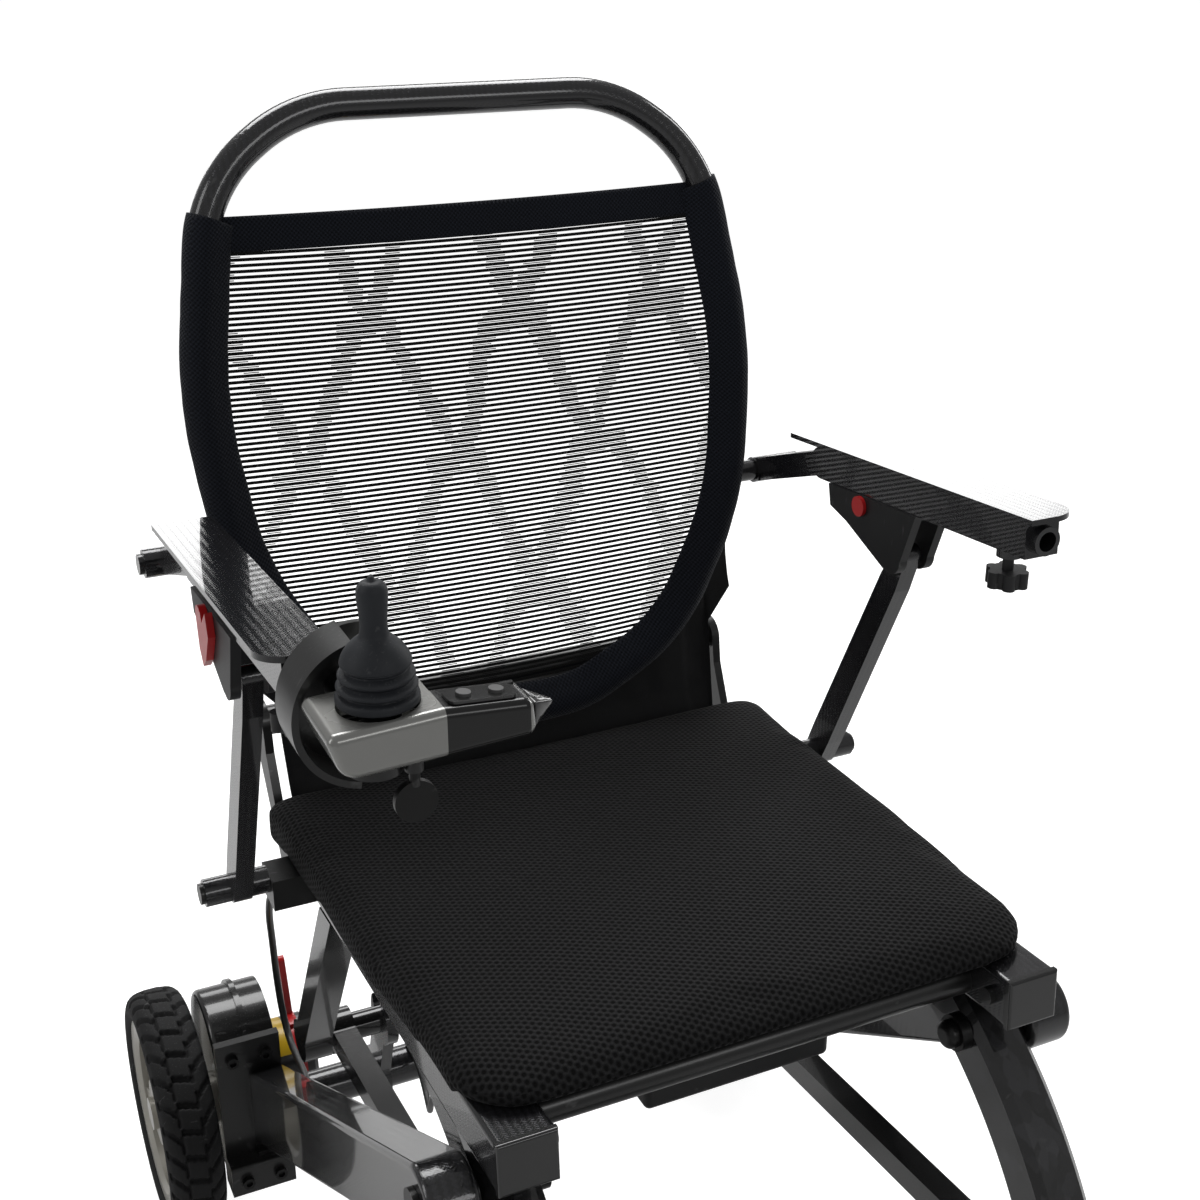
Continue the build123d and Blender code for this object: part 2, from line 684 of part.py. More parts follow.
def caster_fork(side, s):
    x = s * CASTER_X
    wheel = (CASTER_Y + CASTER_TRAIL, CASTER_RADIUS)
    blade = CASTER_WIDTH / 2 + 3
    crown = HEAD_Z[0] - 4
    with BuildPart() as fork:
        post(x, CASTER_Y, STEM_RADIUS, crown, HEAD_Z[1] - 8)
        post(x, CASTER_Y, 14, crown - 8, HEAD_Z[0] - 0.2)
        block((x - blade - 5, x + blade + 5), (CASTER_Y - 15, CASTER_Y + 24), (crown - 8, crown))
        for k in (1, -1):
            x0, x1 = x + k * blade, x + k * (blade + 5)
            plate(
                [
                    (CASTER_Y - 15, crown),
                    (CASTER_Y + 24, crown),
                    (wheel[0] + 11, wheel[1]),
                    (wheel[0] - 11, wheel[1]),
                ],
                x0,
                x1,
            )
            rod(wheel, 11, x0, x1)
        rod(wheel, 6, x - blade - 8, x + blade + 8)
    save(fork, f"caster_fork_{side}")


def caster_wheel(side, s):
    """The caster's tyre, and its hub turning on the fork's axle."""
    x = s * CASTER_X
    half = CASTER_WIDTH / 2
    wheel = (CASTER_Y + CASTER_TRAIL, CASTER_RADIUS)
    felly = CASTER_RADIUS - 23
    with BuildPart() as tyre:
        turned(
            wheel,
            [
                (x - half + 3, felly),
                (x - half, felly + 8),
                (x - half + 5, CASTER_RADIUS - 4),
                (x - half + 13, CASTER_RADIUS),
                (x + half - 13, CASTER_RADIUS),
                (x + half - 5, CASTER_RADIUS - 4),
                (x + half, felly + 8),
                (x + half - 3, felly),
            ],
        )
    save(tyre, f"caster_tyre_{side}")
    with BuildPart() as hub:
        turned(
            wheel,
            [
                (x - half + 3, felly - 8),
                (x - half + 3, felly),
                (x + half - 3, felly),
                (x + half - 3, felly - 8),
            ],
        )
        with BuildSketch(yz(x - 7)) as spokes:
            with Locations(wheel):
                with PolarLocations(felly / 2, 5, start_angle=90):
                    Rectangle(felly - 10, 14)
        slab(spokes, 14)
        rod(wheel, 15, x - half - 1, x + half + 1)
        rod(wheel, 6 + RUN, x - half - 1, x + half + 1, Mode.SUBTRACT)
    save(hub, f"caster_hub_{side}")


def footplate_hangers():
    y, z = FOOT_HINGE
    top = 198
    with BuildPart() as hangers:
        bar((LEG_CENTRE[0] - LEG_RADIUS + 14, top), (y, top), 22, *HANGER_X)
        rod((y, top), 11, *HANGER_X)
        bar((y, top), FOOT_HINGE, 22, *HANGER_X)
        rod(FOOT_HINGE, 13, *HANGER_X)
        mirror(about=Plane.YZ)
        rod(FOOT_HINGE, FOOT_ROD, -HANGER_X[0], HANGER_X[0])
    save(hangers, "footplate_hangers")


def footplate():
    y, z = FOOT_HINGE
    with BuildPart() as foot:
        block((-FOOTPLATE_HALF, FOOTPLATE_HALF), (FOOTPLATE_FRONT, y), (z - FOOTPLATE_THICK, z))
        fillet(foot.edges().filter_by(Axis.Z).sort_by(Axis.Y)[:2], 30)
        for s in SIDES.values():
            rod(FOOT_HINGE, 13, s * 60, s * FOOTPLATE_HALF)
        rod(FOOT_HINGE, FOOT_ROD + RUN, -FOOTPLATE_HALF, FOOTPLATE_HALF, Mode.SUBTRACT)
    save(foot, "footplate")


# ================================================================ backrest


def loop_path():
    with BuildLine(BACK_PLANE) as half:
        FilletPolyline(*LOOP_CORNERS, radius=LOOP_BENDS)
    return half.line


def loop_section(radius, bore=0):
    """A ring across the top of the loop, where it crosses the middle of the chair."""
    top = BACK_PLANE.from_local_coords(Vector(*LOOP_CORNERS[0]))
    across = Plane(origin=top, x_dir=BACK_PLANE.y_dir, z_dir=(1, 0, 0))
    with BuildSketch(across) as ring:
        Circle(radius)
        if bore:
            Circle(bore, mode=Mode.SUBTRACT)
    return ring.sketch


def on_back(up, behind=0.0):
    """The (y, z) place of a point up the back's plane and a distance behind it."""
    y = BACK_FOOT[0] + up * math.sin(LEAN) + behind * math.cos(LEAN)
    z = BACK_FOOT[1] + up * math.cos(LEAN) - behind * math.sin(LEAN)
    return y, z


def back_tube():
    with BuildPart() as tube:
        sweep(loop_section(BACK_TUBE), path=loop_path())
        mirror(about=Plane.YZ)
        for s in SIDES.values():
            rod(ARM_PIVOT, 9, s * 210, s * (ARM_PLATE_X[0] - SIDE_GAP))
            rod(ARM_PIVOT, PIN, s * 212, s * (ARM_PLATE_X[1] + SIDE_GAP + 1))
            rod(ARM_PIVOT, 8, s * (ARM_PLATE_X[1] + SIDE_GAP), s * (ARM_PLATE_X[1] + 4))
    save(tube, "back_tube")


def back_sleeve():
    """The woven edge of the back: a sleeve round the tube and a hem across the top."""
    inner = BACK_TUBE + SOFT_GAP
    with BuildPart() as sleeve:
        sweep(loop_section(inner + SLEEVE, inner), path=loop_path())
        mirror(about=Plane.YZ)
        with BuildSketch(BACK_PLANE.offset(-60)) as above:
            with Locations((0, MESH_TOP + 100)):
                Rectangle(600, 200)
        slab(above, 120, Mode.SUBTRACT)
        for s in SIDES.values():
            rod(ARM_PIVOT, 9 + 2 * SOFT_GAP, s * 200, s * 250, Mode.SUBTRACT)
    with BuildPart() as hem:
        with BuildSketch(BACK_PLANE.offset(-1.5)) as band:
            with Locations((0, MESH_TOP - HEM / 2)):
                Rectangle(500, HEM)
        slab(band, 3)
        with BuildSketch(BACK_PLANE.offset(-30)) as inside:
            add(inner_outline(inner + SLEEVE + 0.2))
        slab(inside, 60, Mode.INTERSECT)
    save_group("back_sleeve", sleeve, hem)


def inner_outline(inset):
    """The space inside the loop, this far in from the tube's centre line, on the XY plane."""
    half = [(x, y) for x, y in LOOP_CORNERS]
    with BuildSketch() as space:
        with BuildLine():
            FilletPolyline(*half, radius=LOOP_BENDS)
            Line(half[-1], half[0])
        make_face()
        mirror(about=Plane.YZ)
        offset(amount=-inset)
    return space.sketch


def back_mesh():
    with BuildPart() as mesh:
        with BuildSketch(BACK_PLANE.offset(-0.8)) as sheet:
            add(inner_outline(BACK_TUBE + SOFT_GAP + SLEEVE + 0.4))
            with Locations((0, MESH_TOP - HEM - 0.3 + 150)):
                Rectangle(600, 300, mode=Mode.SUBTRACT)
        slab(sheet, 1.6)
    save(mesh, "back_mesh")




def back_brackets():
    """Arms from the loop's lower corners to bosses that turn on the hinge tube."""
    with BuildPart() as brackets:
        bar(on_back(62, BACK_TUBE + 5), BACK_HINGE, 18, *BACK_BRACKET_X)
        rod(BACK_HINGE, 18, *BACK_BRACKET_X)
        rod(on_back(62, BACK_TUBE + 5), 9, *BACK_BRACKET_X)
        sweep_clear = loop_section(BACK_TUBE + SOFT_GAP + SLEEVE + 0.1)
        sweep(sweep_clear, path=loop_path(), mode=Mode.SUBTRACT)
        rod(BACK_HINGE, HINGE_TUBE + RUN, *BACK_BRACKET_X, Mode.SUBTRACT)
        mirror(about=Plane.YZ)
    save(brackets, "back_brackets")


def rear_flap():
    """The soft nylon flap that closes the gap between the back and the seat."""
    with BuildPart() as flap:
        with BuildSketch(BACK_PLANE.offset(-BACK_TUBE - 7)) as sheet:
            with BuildLine():
                Polyline(
                    (-192, -22),
                    (192, -22),
                    (194, 40),
                    (217, 66),
                    (219, 122),
                    (150, 46),
                    (100, 20),
                    (60, 6),
                    (-60, 6),
                    (-100, 20),
                    (-150, 46),
                    (-219, 122),
                    (-217, 66),
                    (-194, 40),
                    close=True,
                )
            make_face()
            for s in SIDES.values():
                with Locations((s * sum(BACK_BRACKET_X) / 2, 50)):
                    Rectangle(BACK_BRACKET_X[1] - BACK_BRACKET_X[0] + 4 * SOFT_GAP, 110, mode=Mode.SUBTRACT)
        slab(sheet, 3)
    save(flap, "rear_flap")


# ================================================================ armrests
def armrest(side, s):
    """A carbon plate on a beam that bends down to the pivot on the back, with a socket in front."""
    bend_y = 195
    centre = -ARM_PLATE_THICK / 2 - ARM_DEPTH / 2
    front = (ARM_FRONT[0] + 7, arm_line(ARM_FRONT[0] + 7, centre))
    bend = (bend_y, arm_line(bend_y, centre))
    x0, x1 = s * ARM_X[0], s * ARM_X[1]
    with BuildPart() as beam:
        bar(front, bend, ARM_DEPTH, x0, x1)
        rod(bend, ARM_DEPTH / 2 - 0.05, x0, x1)
        bar(bend, ARM_PIVOT, 20, x0, x1)
        rod(ARM_PIVOT, 11, s * ARM_PLATE_X[0], s * ARM_PLATE_X[1])
        rod(ARM_PIVOT, PIN + RUN, s * ARM_PLATE_X[0], s * ARM_PLATE_X[1], Mode.SUBTRACT)
        along_y(s * SOCKET_X, SOCKET_Z, 10.5, ARM_FRONT[0] + 10, ARM_FRONT[0] + 1)
        post(s * SOCKET_X, KNOB_Y, 9, arm_line(KNOB_Y, -BEAM_BOTTOM) - 8, SOCKET_Z)
        along_y(s * SOCKET_X, SOCKET_Z, SOCKET_RADIUS + RUN, 0, ARM_FRONT[0] - 5, Mode.SUBTRACT)
        post(s * SOCKET_X, KNOB_Y, 4 + RUN, 690, SOCKET_Z, Mode.SUBTRACT)
    with BuildPart() as top:
        bar(ARM_FRONT, ARM_REAR, ARM_PLATE_THICK, s * ARM_PLATE_X[0], s * ARM_PLATE_X[1])
        corners = top.edges().filter_by(lambda e: abs(e.length - ARM_PLATE_THICK) < 0.01)
        front_outer = corners.sort_by(lambda e: e.center().Y - abs(e.center().X))[0]
        rear_inner = corners.sort_by(lambda e: abs(e.center().X) - e.center().Y)[0]
        fillet(front_outer, 22)
        fillet(rear_inner, 6)
    save_group(f"armrest_{side}", beam, top)


def arm_bracket(side, s):
    """The fin under the armrest: two cheeks round the link's top, and the release pin's eye."""
    low = -BEAM_BOTTOM
    y0, y1 = 60, 178
    with BuildPart() as fin:
        plate(
            [
                (y0, arm_line(y0, low)),
                (y1, arm_line(y1, low)),
                (y1 - 4, 706),
                (150, 700),
                (LINK_TOP[0] + 8, LINK_TOP[1] - 12),
                (LINK_TOP[0] - 10, LINK_TOP[1] - 8),
            ],
            s * (ARM_X[0] - 2),
            s * (ARM_X[1] + 2),
        )
        rod(LINK_TOP, 13, s * (ARM_X[0] - 2), s * (ARM_X[1] + 2))
        plate(
            [(30, 660), (158, 660), (158, arm_line(158, low) - 4), (30, arm_line(30, low) - 4)],
            s * (ARM_X[0] - 2 + CHEEK),
            s * (ARM_X[1] + 2 - CHEEK),
            Mode.SUBTRACT,
        )
        rod(RELEASE, 5 + RUN, s * 230, s * 280, Mode.SUBTRACT)
    save(fin, f"arm_bracket_{side}")


def release_lever(side, s):
    """The red release: a button inside, a pin through the fin and a paddle outside."""
    inner, outer = ARM_X[0] - 2 - SIDE_GAP, ARM_X[1] + 2 + SIDE_GAP
    y, z = RELEASE
    with BuildPart() as lever:
        rod(RELEASE, 5, s * inner, s * outer)
        rod(RELEASE, 8, s * (inner - 3), s * inner)
        rod(RELEASE, 9, s * outer, s * (outer + 5))
        plate(
            [
                (y - 9, z),
                (y - 22, z + 12),
                (y - 26, z - 4),
                (y - 12, z - 26),
                (y - 2, z - 34),
                (y + 6, z - 24),
                (y + 9, z),
            ],
            s * outer,
            s * (outer + 5),
        )
    save(lever, f"release_lever_{side}")


def clamp_knob(side, s):
    """A six-lobed hand screw that comes up into the armrest's socket."""
    x = s * SOCKET_X
    stop = 7.2 if side == "right" else 4
    base = arm_line(KNOB_Y, -BEAM_BOTTOM) - 8
    with BuildPart() as knob:
        post(x, KNOB_Y, 4, base - 10, SOCKET_Z - stop)
        with BuildSketch(Plane.XY.offset(base - 22)) as lobes:
            with Locations((x, KNOB_Y)):
                Circle(12)
                with PolarLocations(11, 6):
                    Circle(4.5)
        slab(lobes, 12)
    save(knob, f"clamp_knob_{side}")


def arm_link(side, s):
    """The link from the seat tube up to the fin, wide at the foot and a thin tongue on top."""
    run = (LINK_TOP[0] - LINK_FOOT[0], LINK_TOP[1] - LINK_FOOT[1])
    length = math.hypot(*run)
    along = (run[0] / length, run[1] / length)
    across = (-along[1], along[0])

    def at(distance, aside):
        return (
            LINK_FOOT[0] + along[0] * distance + across[0] * aside,
            LINK_FOOT[1] + along[1] * distance + across[1] * aside,
        )

    with BuildPart() as link:
        plate(
            [
                at(0, 12),
                at(24, 12.5),
                at(length - 30, 11),
                at(length, 8),
                at(length, -8),
                at(length - 30, -11),
                at(24, -12.5),
                at(0, -12),
            ],
            s * LINK_X[0],
            s * LINK_X[1],
        )
        rod(LINK_TOP, 8, s * LINK_X[0], s * LINK_X[1])
        rod(LINK_FOOT, LINK_BOSS + 1.5, s * LINK_X[0], s * LINK_X[1])
        rod(LINK_FOOT, LINK_BOSS, s * BEAM_X[1], s * ARM_PLATE_X[1])
        rod(LINK_FOOT, LINK_PIN + RUN, s * BEAM_X[1], s * ARM_PLATE_X[1], Mode.SUBTRACT)
    save(link, f"arm_link_{side}")


# ================================================================ controller
def control_arm():
    """A hoop round the joystick pod, on a rod that slides into the right armrest's socket."""
    x, z = HOOP_CENTRE
    front, back = HOOP_Y
    ring_plane = Plane(origin=(0, front, 0), x_dir=(1, 0, 0), z_dir=(0, -1, 0))
    with BuildPart() as arm:
        with BuildSketch(ring_plane) as hoop:
            with Locations((x, z)):
                Circle(HOOP_RADIUS + 2)
                Circle(HOOP_RADIUS - 2, mode=Mode.SUBTRACT)
            with BuildLine():
                Polyline((x, z), (x - 12, z + 60), (x + 80, z + 60), (x + 80, z - 60), (x - 12, z - 60), close=True)
            make_face(mode=Mode.SUBTRACT)
        slab(hoop, front - back)
        with BuildSketch(Plane(origin=(0, back - HOOP_WEB, 0), x_dir=(1, 0, 0), z_dir=(0, -1, 0))) as web:
            with Locations((x, z)):
                Circle(HOOP_RADIUS)
            with Locations((x + 60, z)):
                Rectangle(100, 100, mode=Mode.SUBTRACT)
        slab(web, -HOOP_WEB)
        along_y(-SOCKET_X, SOCKET_Z, SOCKET_RADIUS, -3, back - 1)
        along_y(x - 10, z + 7, 8, back - 1, POD_Y[1] + SIDE_GAP)
    with BuildPart() as collar:
        post(STICK[0] - 3, STICK[1] + 2, 15, *COLLAR_Z)
        post(*THUMB_AT, 5, *COLLAR_Z)
        post(*THUMB_AT, 3 + RUN, COLLAR_Z[0], 748, Mode.SUBTRACT)
    save_group("control_arm", arm, collar)


def pod_outline():
    """The controller's outline across the chair: the pod and its extension towards the middle."""
    with BuildLine() as edge:
        FilletPolyline(
            (-279, 776),
            (-215, 779),
            (-167, 775),
            (-165, 754),
            (-231, 751),
            (-270, 749.5),
            radius=[5, 20, 6, 6, 20, 12],
            close=True,
        )
    with BuildSketch() as outline:
        add(edge.line)
        make_face()
    return outline.sketch


def pod_plane(y):
    return Plane(origin=(0, y, 0), x_dir=(1, 0, 0), z_dir=(0, -1, 0))


def control_housing():
    """The silver shell: hollow, with a well for the joystick and holes for the buttons."""
    x, y, z = STICK
    with BuildPart() as shell:
        with BuildSketch(pod_plane(POD_Y[1])) as outline:
            add(pod_outline())
        slab(outline, POD_Y[1] - POD_Y[0])
        fillet(shell.faces().sort_by(Axis.Y)[0].edges(), 5)
        fillet(shell.faces().sort_by(Axis.Y)[-1].edges(), 5)
        with BuildSketch(pod_plane(POD_Y[1] - 3)) as hollow:
            add(pod_outline())
            offset(amount=-3)
        slab(hollow, POD_Y[1] - POD_Y[0] - 6, Mode.SUBTRACT)
        block((BAR_X, BAR_X + 100), (POD_Y[0] + BAR_DEPTH, POD_Y[1] + 10), (700, 800), Mode.SUBTRACT)
        block((BAR_X - 3, -170), (POD_Y[0] + BAR_DEPTH - 3, POD_Y[0] + BAR_DEPTH), (753, 776))
        post(x, y, WELL_RADIUS + 2.5, z - 8, z + 4)
        post(x, y, WELL_RADIUS, z - 10, z + 20, Mode.SUBTRACT)
        with BuildSketch(panel_plane(-8)) as holes:
            with Locations(POWER_AT, HORN_AT):
                Circle(BUTTON_RADIUS + SIDE_GAP)
        slab(holes, 14, Mode.SUBTRACT)
    save(shell, "control_housing")




def panel_plane(up=0.0):
    """The sloping top of the extension: local x runs down it, local y runs back."""
    down = (math.cos(PANEL_SLOPE), 0, math.sin(PANEL_SLOPE))
    normal = (-down[2], 0, down[0])
    origin = (PANEL_START[0], POD_Y[0] + BAR_DEPTH / 2, PANEL_START[1])
    return Plane(origin=origin, x_dir=down, z_dir=normal).offset(up)


def display_panel():
    with BuildPart() as panel:
        with BuildSketch(panel_plane(SIDE_GAP)) as face:
            with Locations((19, 0)):
                RectangleRounded(38, BAR_DEPTH - 10, 4)
            with Locations(POWER_AT, HORN_AT):
                Circle(BUTTON_RADIUS + SIDE_GAP, mode=Mode.SUBTRACT)
        slab(face, PANEL_THICK)
    save(panel, "display_panel")


def panel_button(node, at):
    """A round push button through the panel, with 2 mm of travel."""
    with BuildPart() as button:
        with BuildSketch(panel_plane(-2)) as disc:
            with Locations(at):
                Circle(BUTTON_RADIUS)
        slab(disc, 2 + PANEL_THICK + 2)
    save(button, node)


def joystick_gimbal():
    """The ring that tilts fore and aft, under the boot."""
    x, y, z = STICK
    with BuildPart() as ring:
        post(x, y, GIMBAL[1], z - 3, z + 3)
        rod((y, z), 2, x - WELL_RADIUS + SIDE_GAP, x + WELL_RADIUS - SIDE_GAP)
        post(x, y, GIMBAL[0], z - 3, z + 3, Mode.SUBTRACT)
    save(ring, "joystick_gimbal")


def joystick_stick():
    """The stick: a ball-shaped skirt over the boot, a cone and a round knob."""
    x, y, z = STICK
    section = Plane(origin=(x, y, z), x_dir=(1, 0, 0), z_dir=(0, -1, 0))
    skirt = BOOT_RADIUS + 0.6
    rim = math.radians(45)
    with BuildPart() as stick:
        with BuildSketch(section) as half:
            with BuildLine():
                inner_rim = (skirt * math.sin(rim), skirt * math.cos(rim))
                outer_rim = ((skirt + 2) * math.sin(rim), (skirt + 2) * math.cos(rim))
                shaft = math.asin(3 / skirt)
                top = (3, skirt * math.cos(shaft))
                CenterArc((0, 0), skirt, 90 - math.degrees(rim), math.degrees(rim - shaft))
                Line(inner_rim, outer_rim)
                Polyline(outer_rim, (13, 36), (8, 41), (7, 50), (9, 56), (9, 64), (6, 70), (0, 73))
                Polyline((0, 73), (0, -4), (3, -4), top)
            make_face()
        revolve(half.sketch, axis=Axis((x, y, z), (0, 0, 1)))
        post(x, y, 6, z - 4, z + 2)
        along_y(x, z, 1.5, y + GIMBAL[0] - SIDE_GAP, y - GIMBAL[0] + SIDE_GAP)
    save(stick, "joystick_stick")


def joystick_boot():
    """The rubber boot: a dome round the stick's pivot, open in the middle."""
    x, y, z = STICK
    section = Plane(origin=(x, y, z), x_dir=(1, 0, 0), z_dir=(0, -1, 0))
    with BuildPart() as boot:
        with BuildSketch(section) as half:
            Circle(BOOT_RADIUS)
            Circle(BOOT_RADIUS - 2, mode=Mode.SUBTRACT)
            with Locations((BOOT_HOLE + 50, BOOT_BASE + 50)):
                Rectangle(100, 100, mode=Mode.INTERSECT)
        revolve(half.sketch, axis=Axis((x, y, z), (0, 0, 1)))
        post(x, y, BOOT_RADIUS, z + BOOT_BASE, z + BOOT_BASE + 1.5)
        post(x, y, BOOT_RADIUS - 3, z + BOOT_BASE, z + BOOT_BASE + 1.5, Mode.SUBTRACT)
    save(boot, "joystick_boot")


def thumb_screw():
    with BuildPart() as screw:
        post(*THUMB_AT, 3, 730, 747)
        along_y(THUMB_AT[0], 721, 12, THUMB_AT[1] + 2, THUMB_AT[1] - 2)
    save(screw, "thumb_screw")


# ================================================================ cords
def bends(route):
    """The largest bend radius at each inner point: a fixed share of the shorter run."""
    radii = []
    for a, b, c in zip(route, route[1:], route[2:]):
        one, two = Vector(*b) - Vector(*a), Vector(*c) - Vector(*b)
        turn = math.radians(one.get_angle(two))
        radii.append(FLEX * min(one.length, two.length) / math.tan(turn / 2))
    return radii


def cord(node):
    route = CORD_ROUTES[node]
    radius = CORD_RADIUS[node]
    radii = bends(route)
    with BuildPart() as lead:
        with BuildLine() as path:
            FilletPolyline(*route, radius=radii)
        with BuildSketch(Plane(origin=path.line @ 0, z_dir=path.line % 0)):
            Circle(radius)
        sweep()
    length = sum(edge.length for edge in path.edges())
    expected = math.pi * radius ** 2 * length
    print(f"{node}: bend radii {[round(r) for r in radii]} mm, length {length:.0f} mm")
    print(f"{node}: volume {lead.part.volume:.0f} of {expected:.0f} mm3")
    save(lead, node)


def build():
    for side, s in SIDES.items():
        main_beam(side, s)
        brake_lever(side, s)
        rear_wheel(side, s)
        seat_tube(side, s)
        front_leg(side, s)
        caster_fork(side, s)
        caster_wheel(side, s)
        armrest(side, s)
        arm_bracket(side, s)
        release_lever(side, s)
        clamp_knob(side, s)
        arm_link(side, s)
    rear_crossbar()
    motor_brackets()
    gearboxes()
    drive_motors()
    bracket_screws()
    tube_caps()
    seat_cross_tubes()
    seat_struts()
    frame_bolts()
    link_brackets()
    seat_cushion()
    battery_case()
    back_hinge()
    caster_heads()
    footplate_hangers()
    footplate()
    back_tube()
    back_sleeve()
    back_mesh()
    back_brackets()
    rear_flap()
    control_arm()
    control_housing()
    display_panel()
    panel_button("power_button", POWER_AT)
    panel_button("horn_button", HORN_AT)
    joystick_gimbal()
    joystick_stick()
    joystick_boot()
    thumb_screw()
    for node in CORD_ROUTES:
        cord(node)


build()
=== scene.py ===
import math

import bmesh
import bpy
import numpy as np
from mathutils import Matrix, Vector, noise


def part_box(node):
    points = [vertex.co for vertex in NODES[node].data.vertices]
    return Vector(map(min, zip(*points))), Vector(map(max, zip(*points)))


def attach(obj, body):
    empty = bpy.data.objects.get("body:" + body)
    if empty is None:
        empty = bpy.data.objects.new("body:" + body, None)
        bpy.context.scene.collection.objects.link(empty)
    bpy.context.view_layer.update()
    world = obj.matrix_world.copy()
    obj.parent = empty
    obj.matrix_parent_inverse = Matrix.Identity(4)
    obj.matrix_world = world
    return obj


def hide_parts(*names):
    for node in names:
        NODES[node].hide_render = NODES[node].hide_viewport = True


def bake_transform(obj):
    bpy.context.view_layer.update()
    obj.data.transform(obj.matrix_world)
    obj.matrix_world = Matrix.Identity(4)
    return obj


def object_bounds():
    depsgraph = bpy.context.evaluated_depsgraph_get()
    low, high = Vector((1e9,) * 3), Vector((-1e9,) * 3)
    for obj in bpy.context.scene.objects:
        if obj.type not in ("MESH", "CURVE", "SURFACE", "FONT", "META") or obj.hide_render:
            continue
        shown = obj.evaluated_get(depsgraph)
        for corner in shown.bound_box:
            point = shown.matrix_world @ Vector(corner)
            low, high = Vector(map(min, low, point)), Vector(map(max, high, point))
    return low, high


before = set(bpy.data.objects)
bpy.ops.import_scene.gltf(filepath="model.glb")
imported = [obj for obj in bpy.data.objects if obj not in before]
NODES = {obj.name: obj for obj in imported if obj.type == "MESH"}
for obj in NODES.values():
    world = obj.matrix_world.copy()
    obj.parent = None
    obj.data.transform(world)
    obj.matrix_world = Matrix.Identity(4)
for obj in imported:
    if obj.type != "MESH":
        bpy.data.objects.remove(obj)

CAD_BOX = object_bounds()
MM = 0.001


# ---------------------------------------------------------------- stage, lights and camera
CAMERA_AT = Vector((-0.4627, -0.8871, 1.1552))
CAMERA_AZIMUTH = math.radians(-25.137)
CAMERA_ELEVATION = math.radians(22.926)
LENS = 49.7
SENSOR_WIDTH = 36
FLOOR_REACH = 30
FLOOR_DROP = 0.0005  # keeps the floor just clear of the tyres
FLOOR_SHADE = 0.55
FLOOR_ROUGHNESS = 0.9
# Bright when looked at straight, dim when it lights or is mirrored in the chair.
FLOOR_GLOW = 0.86
FLOOR_BOUNCE = 0.05
ROOM_GLOW = 1.0
ROOM_LIGHT = 0.26
LIGHT_TARGET = (0, 0.05, 0.6)
# Where each panel stands, its width and height in metres, and its power in watts.
PANEL_LIGHTS = {
    "overhead_softbox": ((0.2, 1.6, 2.9), (2.4, 1.2), 50),
    "left_softbox": ((-3.0, 0.2, 2.0), (1.0, 2.2), 14),
    "right_strip": ((2.7, 0.9, 1.6), (0.4, 2.2), 14),
    "horizon_strip": ((0.75, 2.5, 1.1), (2.8, 0.6), 13),
    "front_fill": ((0.9, -3.2, 2.2), (1.6, 0.8), 9),
}


def add_camera():
    lens = bpy.data.cameras.new("camera")
    lens.lens = LENS
    lens.sensor_width = SENSOR_WIDTH
    camera = bpy.data.objects.new("camera", lens)
    towards = -Vector((
        math.sin(CAMERA_AZIMUTH) * math.cos(CAMERA_ELEVATION),
        -math.cos(CAMERA_AZIMUTH) * math.cos(CAMERA_ELEVATION),
        math.sin(CAMERA_ELEVATION),
    ))
    camera.location = CAMERA_AT
    camera.rotation_euler = towards.to_track_quat("-Z", "Y").to_euler()
    bpy.context.scene.collection.objects.link(camera)
    bpy.context.scene.camera = camera


def add_panel_light(name, stand, size, power):
    light = bpy.data.lights.new(name, "AREA")
    light.shape = "RECTANGLE"
    light.size, light.size_y = size
    light.energy = power
    lamp = bpy.data.objects.new(name, light)
    lamp.location = stand
    aim = Vector(LIGHT_TARGET) - Vector(stand)
    lamp.rotation_euler = aim.to_track_quat("-Z", "Y").to_euler()
    lamp.visible_camera = False
    bpy.context.scene.collection.objects.link(lamp)


def add_studio():
    """A pale floor, a white room, and panel lights that no view sees."""
    floor_mesh = bpy.data.meshes.new("studio_floor")
    corners = [(x * FLOOR_REACH, y * FLOOR_REACH, 0) for x, y in ((-1, -1), (1, -1), (1, 1), (-1, 1))]
    floor_mesh.from_pydata(corners, [], [(0, 1, 2, 3)])
    floor = bpy.data.objects.new("studio_floor", floor_mesh)
    floor.location.z = CAD_BOX[0][2] - FLOOR_DROP
    bpy.context.scene.collection.objects.link(floor)
    paint = bpy.data.materials.new("studio_floor")
    paint.use_nodes = True
    shader = paint.node_tree.nodes["Principled BSDF"]
    shader.inputs["Base Color"].default_value = grey(FLOOR_SHADE)
    shader.inputs["Roughness"].default_value = FLOOR_ROUGHNESS
    shader.inputs["Emission Color"].default_value = (1, 1, 1, 1)
    tones = Graph(shader.id_data)
    straight = tones.node("ShaderNodeLightPath").outputs["Is Camera Ray"]
    glow = tones.ramp(straight, 0.0, 1.0, FLOOR_BOUNCE, FLOOR_GLOW)
    tones.put(shader.inputs["Emission Strength"], glow)
    floor_mesh.materials.append(paint)
    world = bpy.data.worlds.new("studio")
    world.use_nodes = True
    sky = Graph(world.node_tree)
    seen = sky.node("ShaderNodeLightPath").outputs["Is Camera Ray"]
    backdrop = world.node_tree.nodes["Background"]
    backdrop.inputs["Color"].default_value = (1, 1, 1, 1)
    sky.put(backdrop.inputs["Strength"], sky.ramp(seen, 0.0, 1.0, ROOM_LIGHT, ROOM_GLOW))
    bpy.context.scene.world = world
    bpy.context.scene.view_settings.view_transform = "Standard"
    for name, (stand, size, power) in PANEL_LIGHTS.items():
        add_panel_light(name, stand, size, power)


